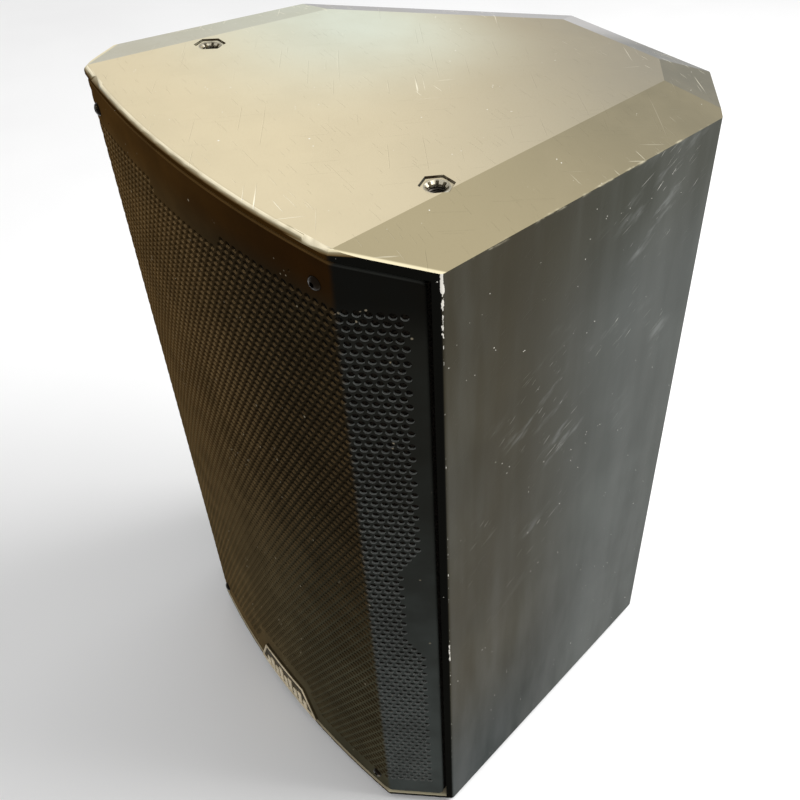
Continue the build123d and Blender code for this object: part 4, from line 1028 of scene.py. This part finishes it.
def flush_screws(materials, node, name, outward, length):
    """Countersunk cross-recessed screws in place of a node's plain ones."""
    shape = Shape()
    normal = Vector(outward).normalized()
    profile = screw_profile(
        head=0.0036, rise=0.0020, recess=cross_radius(0.0019, 0.0005), recess_depth=0.0012,
        shank=0.0021, length=length, domed=False,
    )
    for points in solids_of(node):
        top = max(point.dot(normal) for point in points)
        rim = [point for point in points if point.dot(normal) > top - 1e-5]
        middle = [(min(p[axis] for p in rim) + max(p[axis] for p in rim)) / 2 for axis in range(3)]
        shape.turn(profile, place_on(middle, normal, (0.1, 0.1, 1)), 48)
    shape.finish(name, [materials["screw_steel"]], replaces=[node], slot="screw_steel")


# ---------- fly points ----------

def fly_planes():
    """Where the threaded fly points sit, with the thickness of the wood there."""
    planes = []
    for x in (-FLY_X, FLY_X):
        planes.append((place_on((x, FLY_Y, TOP), (0, 0, 1)), DECK))
        planes.append((place_on((x, FLY_Y, BOTTOM), (0, 0, -1)), DECK))
    planes.append((place_on((AMP_X, BACK_Y, REAR_FLY_Z), (0, 1, 0), (0, 0, 1)), WALL))
    return planes


def thread_ring(height):
    """The radius of a threaded bore at a height, for any angle."""
    def radius(angle):
        phase = (height / THREAD_PITCH + angle / (2 * pi)) % 1.0
        return THREAD_R + THREAD_DEPTH * min(1.0, abs(2 * phase - 1) * 1.5)
    return radius


def notched_radius(angle):
    """The radius of the bore's first turns, where the bush is notched."""
    share = angle * NOTCHES / (2 * pi) % 1
    return THREAD_R + (NOTCH_REACH if share < NOTCH_SHARE else LEAD_IN)


def fly_points(materials):
    """Hexagonal bushes: a painted face over a plated mouth and a threaded bore, darkened as painted
    shade.
    """
    # the bore's threads are darkened as painted shade
    painted, plated, shaded_bore = 0, 1, 2
    shape = Shape()
    for place, thickness in fly_planes():
        back = -thickness - FLY_FLANGE
        hexagon, face = hexagon_radius(HEX_FLATS), -FLY_SUNK
        mouth = face - FLY_MOUTH_DEPTH
        profile = [
            (FLY_FLANGE_R, back), (FLY_FLANGE_R, -thickness), (hexagon, -thickness),
            (hexagon, face - CHAMFER), (hexagon_radius(HEX_FLATS - 2 * CHAMFER), face),
            (FLY_MOUTH_R + 0.0010, face), (FLY_MOUTH_R, face - CHAMFER),
            (notched_radius, mouth), (notched_radius, mouth - NOTCH_DEPTH),
        ]
        numbers = [plated, plated, plated, painted, painted, plated, plated, plated]
        rows = int((mouth - NOTCH_DEPTH - back) / (THREAD_PITCH / ROWS_PER_TURN))
        for row in range(1, rows):
            height = mouth - NOTCH_DEPTH - row * THREAD_PITCH / ROWS_PER_TURN
            profile.append((thread_ring(height), height))
        profile.append((THREAD_R + LEAD_IN, back))
        numbers += [shaded_bore] * (len(profile) - len(numbers))
        shape.turn(profile, place, 64, closed=True, numbers=numbers)
    shape.finish(
        "fly_points", [materials["cabinet_paint"], materials["insert_steel"], materials["shaded_thread"]],
        replaces=["fly_point_inserts"], slot="insert_steel",
    )


# ---------- badge ----------

BADGE_WIDE, BADGE_NARROW, BADGE_HEIGHT = 0.094, 0.063, 0.0365
BADGE_LOW, BADGE_PROUD, BADGE_BORDER, BADGE_WELL = BOTTOM + 0.0145, 0.0025, 0.0018, 0.0012
BADGE_SLANT = 1.07  # how far a slanting side moves in, across, for an inset of 1


def on_bow(u, z, proud):
    """A point in front of the cabinet's bow, u along it."""
    turn = u / BOW_RADIUS
    radius = BOW_RADIUS + proud
    return (radius * sin(turn), BOW_CENTRE_Y - radius * cos(turn), z)


def badge_half(z):
    """Half the badge's width at a height."""
    share = (z - BADGE_LOW) / BADGE_HEIGHT
    return (BADGE_WIDE + (BADGE_NARROW - BADGE_WIDE) * share) / 2


def badge_outline(inset):
    """The badge's outline drawn in by an inset, anticlockwise, with points along its sides."""
    level_steps, slant_steps = 16, 4
    low, high = BADGE_LOW + inset, BADGE_LOW + BADGE_HEIGHT - inset
    wide, narrow = badge_half(low) - inset * BADGE_SLANT, badge_half(high) - inset * BADGE_SLANT
    level = [step / level_steps for step in range(level_steps)]
    slant = [step / slant_steps for step in range(slant_steps)]
    bottom = [(wide * (2 * share - 1), low) for share in level]
    right = [(wide + (narrow - wide) * share, low + (high - low) * share) for share in slant]
    top = [(narrow * (1 - 2 * share), high) for share in level]
    left = [(-narrow + (narrow - wide) * share, high + (low - high) * share) for share in slant]
    return bottom + right + top + left


def badge_rim(shape):
    """The badge's side and its raised border, from the back edge to the floor of the well."""
    levels = [
        (0.0, -GRILLE_SETBACK), (0.0, BADGE_PROUD - 0.0009), (0.0, BADGE_PROUD - 0.0004),
        (0.0004, BADGE_PROUD), (BADGE_BORDER - 0.0006, BADGE_PROUD),
        (BADGE_BORDER, BADGE_PROUD - BADGE_WELL),
    ]
    loops = [[on_bow(u, z, proud) for u, z in badge_outline(inset)] for inset, proud in levels]
    shape.rings(loops[:2], cap=False, number=1)
    shape.rings(loops[1:], cap=False, number=0)


def badge_field(shape, inset, proud, flip):
    """A bowed panel over the badge's outline drawn in by an inset; flip turns it to face the back."""
    rows, columns = 4, 24
    grid, quads = [], []
    for row in range(rows + 1):
        z = BADGE_LOW + inset + (BADGE_HEIGHT - 2 * inset) * row / rows
        half = badge_half(z) - inset * BADGE_SLANT
        grid += [on_bow(half * (2 * column / columns - 1), z, proud) for column in range(columns + 1)]
    for row in range(rows):
        for column in range(columns):
            a = row * (columns + 1) + column
            quad = (a, a + 1, a + columns + 2, a + columns + 1)
            quads.append(tuple(reversed(quad)) if flip else quad)
    shape.add(grid, quads, numbers=1)


def badge_bars(shape):
    """A plain row of bars of different heights, standing in the well."""
    heights = (0.45, 0.7, 0.55, 0.85, 0.6, 0.85, 0.55, 0.7, 0.45)
    pitch, width, well = 0.0078, 0.0050, BADGE_PROUD - BADGE_WELL
    foot, room = BADGE_LOW + 0.0045, BADGE_HEIGHT - 0.014
    for number, height in enumerate(heights):
        u = (number - (len(heights) - 1) / 2) * pitch
        head = foot + height * room
        loops = []
        for inset, proud in ((0.0, well - 0.0002), (0.0, well + 0.0006), (0.0003, well + 0.0009)):
            left, right = u - width / 2 + inset, u + width / 2 - inset
            low, high = foot + inset, head - inset
            corners = [(left, low), (right, low), (right, high), (left, high)]
            loops.append([on_bow(a, z, proud) for a, z in corners])
        shape.rings(loops)


def badge(materials):
    """A bordered plate with plain bars on a darker ground."""
    shape = Shape()
    badge_rim(shape)
    badge_field(shape, BADGE_BORDER, BADGE_PROUD - BADGE_WELL, flip=False)
    badge_field(shape, 0.0, -GRILLE_SETBACK, flip=True)
    badge_bars(shape)
    shape.finish(
        "badge", [materials["badge_enamel"], materials["badge_ground"]],
        replaces=["badge_plate"], slot="badge_enamel",
    )


# ---------- woofer suspension ----------

BAFFLE_Y = FRONT_Y + 0.056
WOOFER_Z = sum(corner[2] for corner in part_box("woofer_surround")) / 2
SECTORS, SECTOR_STEPS = 12, 5


def bending_ring(materials, node, name, front, thick):
    """A ring in sectors, from its outer edge at the basket to its inner edge at the cone.

    front is its front face as (radius, depth behind the baffle) from the outer edge inwards."""
    section = [(radius, depth + thick) for radius, depth in front] + front[::-1]

    def around(radius, depth, sector):
        angle = 2 * pi * sector / SECTORS
        return radius * cos(angle), BAFFLE_Y + depth, WOOFER_Z + radius * sin(angle)

    (outer, level), inner = front[0], front[-1][0]
    for sector in range(SECTORS):
        shape = Shape()
        turns = [sector + step / SECTOR_STEPS for step in range(SECTOR_STEPS + 1)]
        shape.rings([[around(*point, turn) for point in section] for turn in turns], cap=False)
        start, end = around(outer, level, sector + 0.5), around(inner, level, sector + 0.5)
        shape.finish(
            f"{name}_{sector + 1}", [materials["surround_cloth"]],
            replaces=[node], slot="surround_cloth", bend=("cabinet", "woofer_cone", start, end),
        )


def woofer_surround(materials):
    """The half-round roll between the basket and the cone."""
    outer, middle, inner = 0.136, 0.122, 0.104
    roll, thick, glue, steps = 0.009, 0.001, -0.006, 12
    front = [(outer, glue)]
    for step in range(steps + 1):
        turn = pi * step / steps
        front.append((middle + roll * cos(turn), glue + (thick - roll) * sin(turn)))
    front.append((inner, glue))
    bending_ring(materials, "woofer_surround", "surround", front, thick)


def woofer_spider(materials):
    """The corrugated disc that centres the voice coil."""
    outer, inner, thick = 0.065, 0.0338, 0.0008
    waves, steps_per_wave = 4, 6
    low, high = (corner[1] - BAFFLE_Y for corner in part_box("woofer_spider"))
    swing = (high - low) / 4
    front = []
    for step in range(waves * steps_per_wave + 1):
        radius = outer + (inner - outer) * step / (waves * steps_per_wave)
        phase = 2 * pi * step / steps_per_wave
        front.append((radius, low + swing + swing * sin(phase)))
    bending_ring(materials, "woofer_spider", "spider", front, thick)


# ---------- rear panel print ----------

def stamp(shape, corners):
    """A thin printed patch on the tray's floor, over corners given as (x, z)."""
    top, thick = PANEL_Y + 0.0002, 0.0003
    shape.rings([[(x, level, z) for x, z in corners] for level in (top - thick, top)])


def dial(shape, knob):
    """Eleven marks round a knob, longer at the ends and in the middle."""
    low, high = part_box(knob)
    centre = Vector(((low[0] + high[0]) / 2, (low[2] + high[2]) / 2))
    for step in range(11):
        angle = radians(-150 + 30 * step)
        inner, outer, half = (0.0092, 0.0118, 0.0004) if step % 5 == 0 else (0.0092, 0.0108, 0.00025)
        out = Vector((sin(angle), cos(angle)))
        side = Vector((out.y, -out.x)) * half
        near, far = centre + out * inner, centre + out * outer
        stamp(shape, [near - side, far - side, far + side, near + side])


def panel_print(materials):
    """Generic level marks round the two knobs and two thin dividing lines."""
    shape = Shape()
    dial(shape, "level_knob_1")
    dial(shape, "level_knob_2")
    left, right, half = AMP_X - 0.045, AMP_X + 0.045, 0.0002
    for z in (0.3125, 0.4235):
        stamp(shape, [(left, z - half), (left, z + half), (right, z + half), (right, z - half)])
    shape.finish("panel_marks", [materials["panel_print"]], slot="cast_frame")


# ---------- camera, lights and floor ----------

def set_camera():
    """The photograph's camera, solved from the cabinet's straight edges, with its off-centre crop."""
    data = bpy.data.cameras.new("camera")
    data.lens = 38.94
    data.sensor_width = 36.0
    data.shift_x, data.shift_y = -0.2106, -0.1795
    camera = bpy.data.objects.new("camera", data)
    camera.location = (0.4651, -0.3614, 0.8814)
    camera.rotation_euler = Euler([radians(v) for v in (54.246, -3.942, 43.418)])
    bpy.context.collection.objects.link(camera)
    bpy.context.scene.camera = camera


def area_light(name, place, target, size, power):
    """A square lamp aimed at a target."""
    data = bpy.data.lights.new(name, "AREA")
    data.energy = power
    data.size = size
    light = bpy.data.objects.new(name, data)
    light.location = place
    direction = Vector(target) - Vector(place)
    light.rotation_euler = direction.to_track_quat("-Z", "Y").to_euler()
    bpy.context.collection.objects.link(light)


def set_stage():
    """A pale floor, a white surround and a soft key light from behind on the right."""
    floor = mesh_object("floor", [(-4, -4, 0), (4, -4, 0), (4, 4, 0), (-4, 4, 0)], [(0, 1, 2, 3)])
    sh = Shader("floor")
    tone = sh.mix(sh.uneven(3, 2), (243, 243, 243), (246, 246, 246))
    floor.data.materials.append(sh.finish(tone, 0.85, specular=0.1))
    world = bpy.data.worlds.new("surround")
    world.use_nodes = True
    background = world.node_tree.nodes["Background"]
    background.inputs["Color"].default_value = (1, 1, 1, 1)
    background.inputs["Strength"].default_value = 0.75
    bpy.context.scene.world = world
    area_light("key", place=(0.9, 1.1, 1.9), target=(0, 0, 0.3), size=1.2, power=52)
    bpy.context.scene.view_settings.view_transform = "Standard"


# ---------- assembly ----------

def main():
    set_camera()
    set_stage()
    materials = make_materials()
    dress_frame(materials)
    build_grille(materials)
    grille_screws(materials)
    fly_points(materials)
    badge(materials)
    woofer_surround(materials)
    woofer_spider(materials)
    panel_print(materials)
    flush_screws(materials, "amp_screws", "amp_panel_screws", (0, 1, 0), 0.013)
    flush_screws(materials, "pole_cup_screws", "pole_flange_screws", (0, 0, -1), 0.013)
    left_wall = (-cos(SIDE_TAPER), sin(SIDE_TAPER), 0)
    flush_screws(materials, "handle_screws", "handle_lip_screws", left_wall, 0.011)


main()
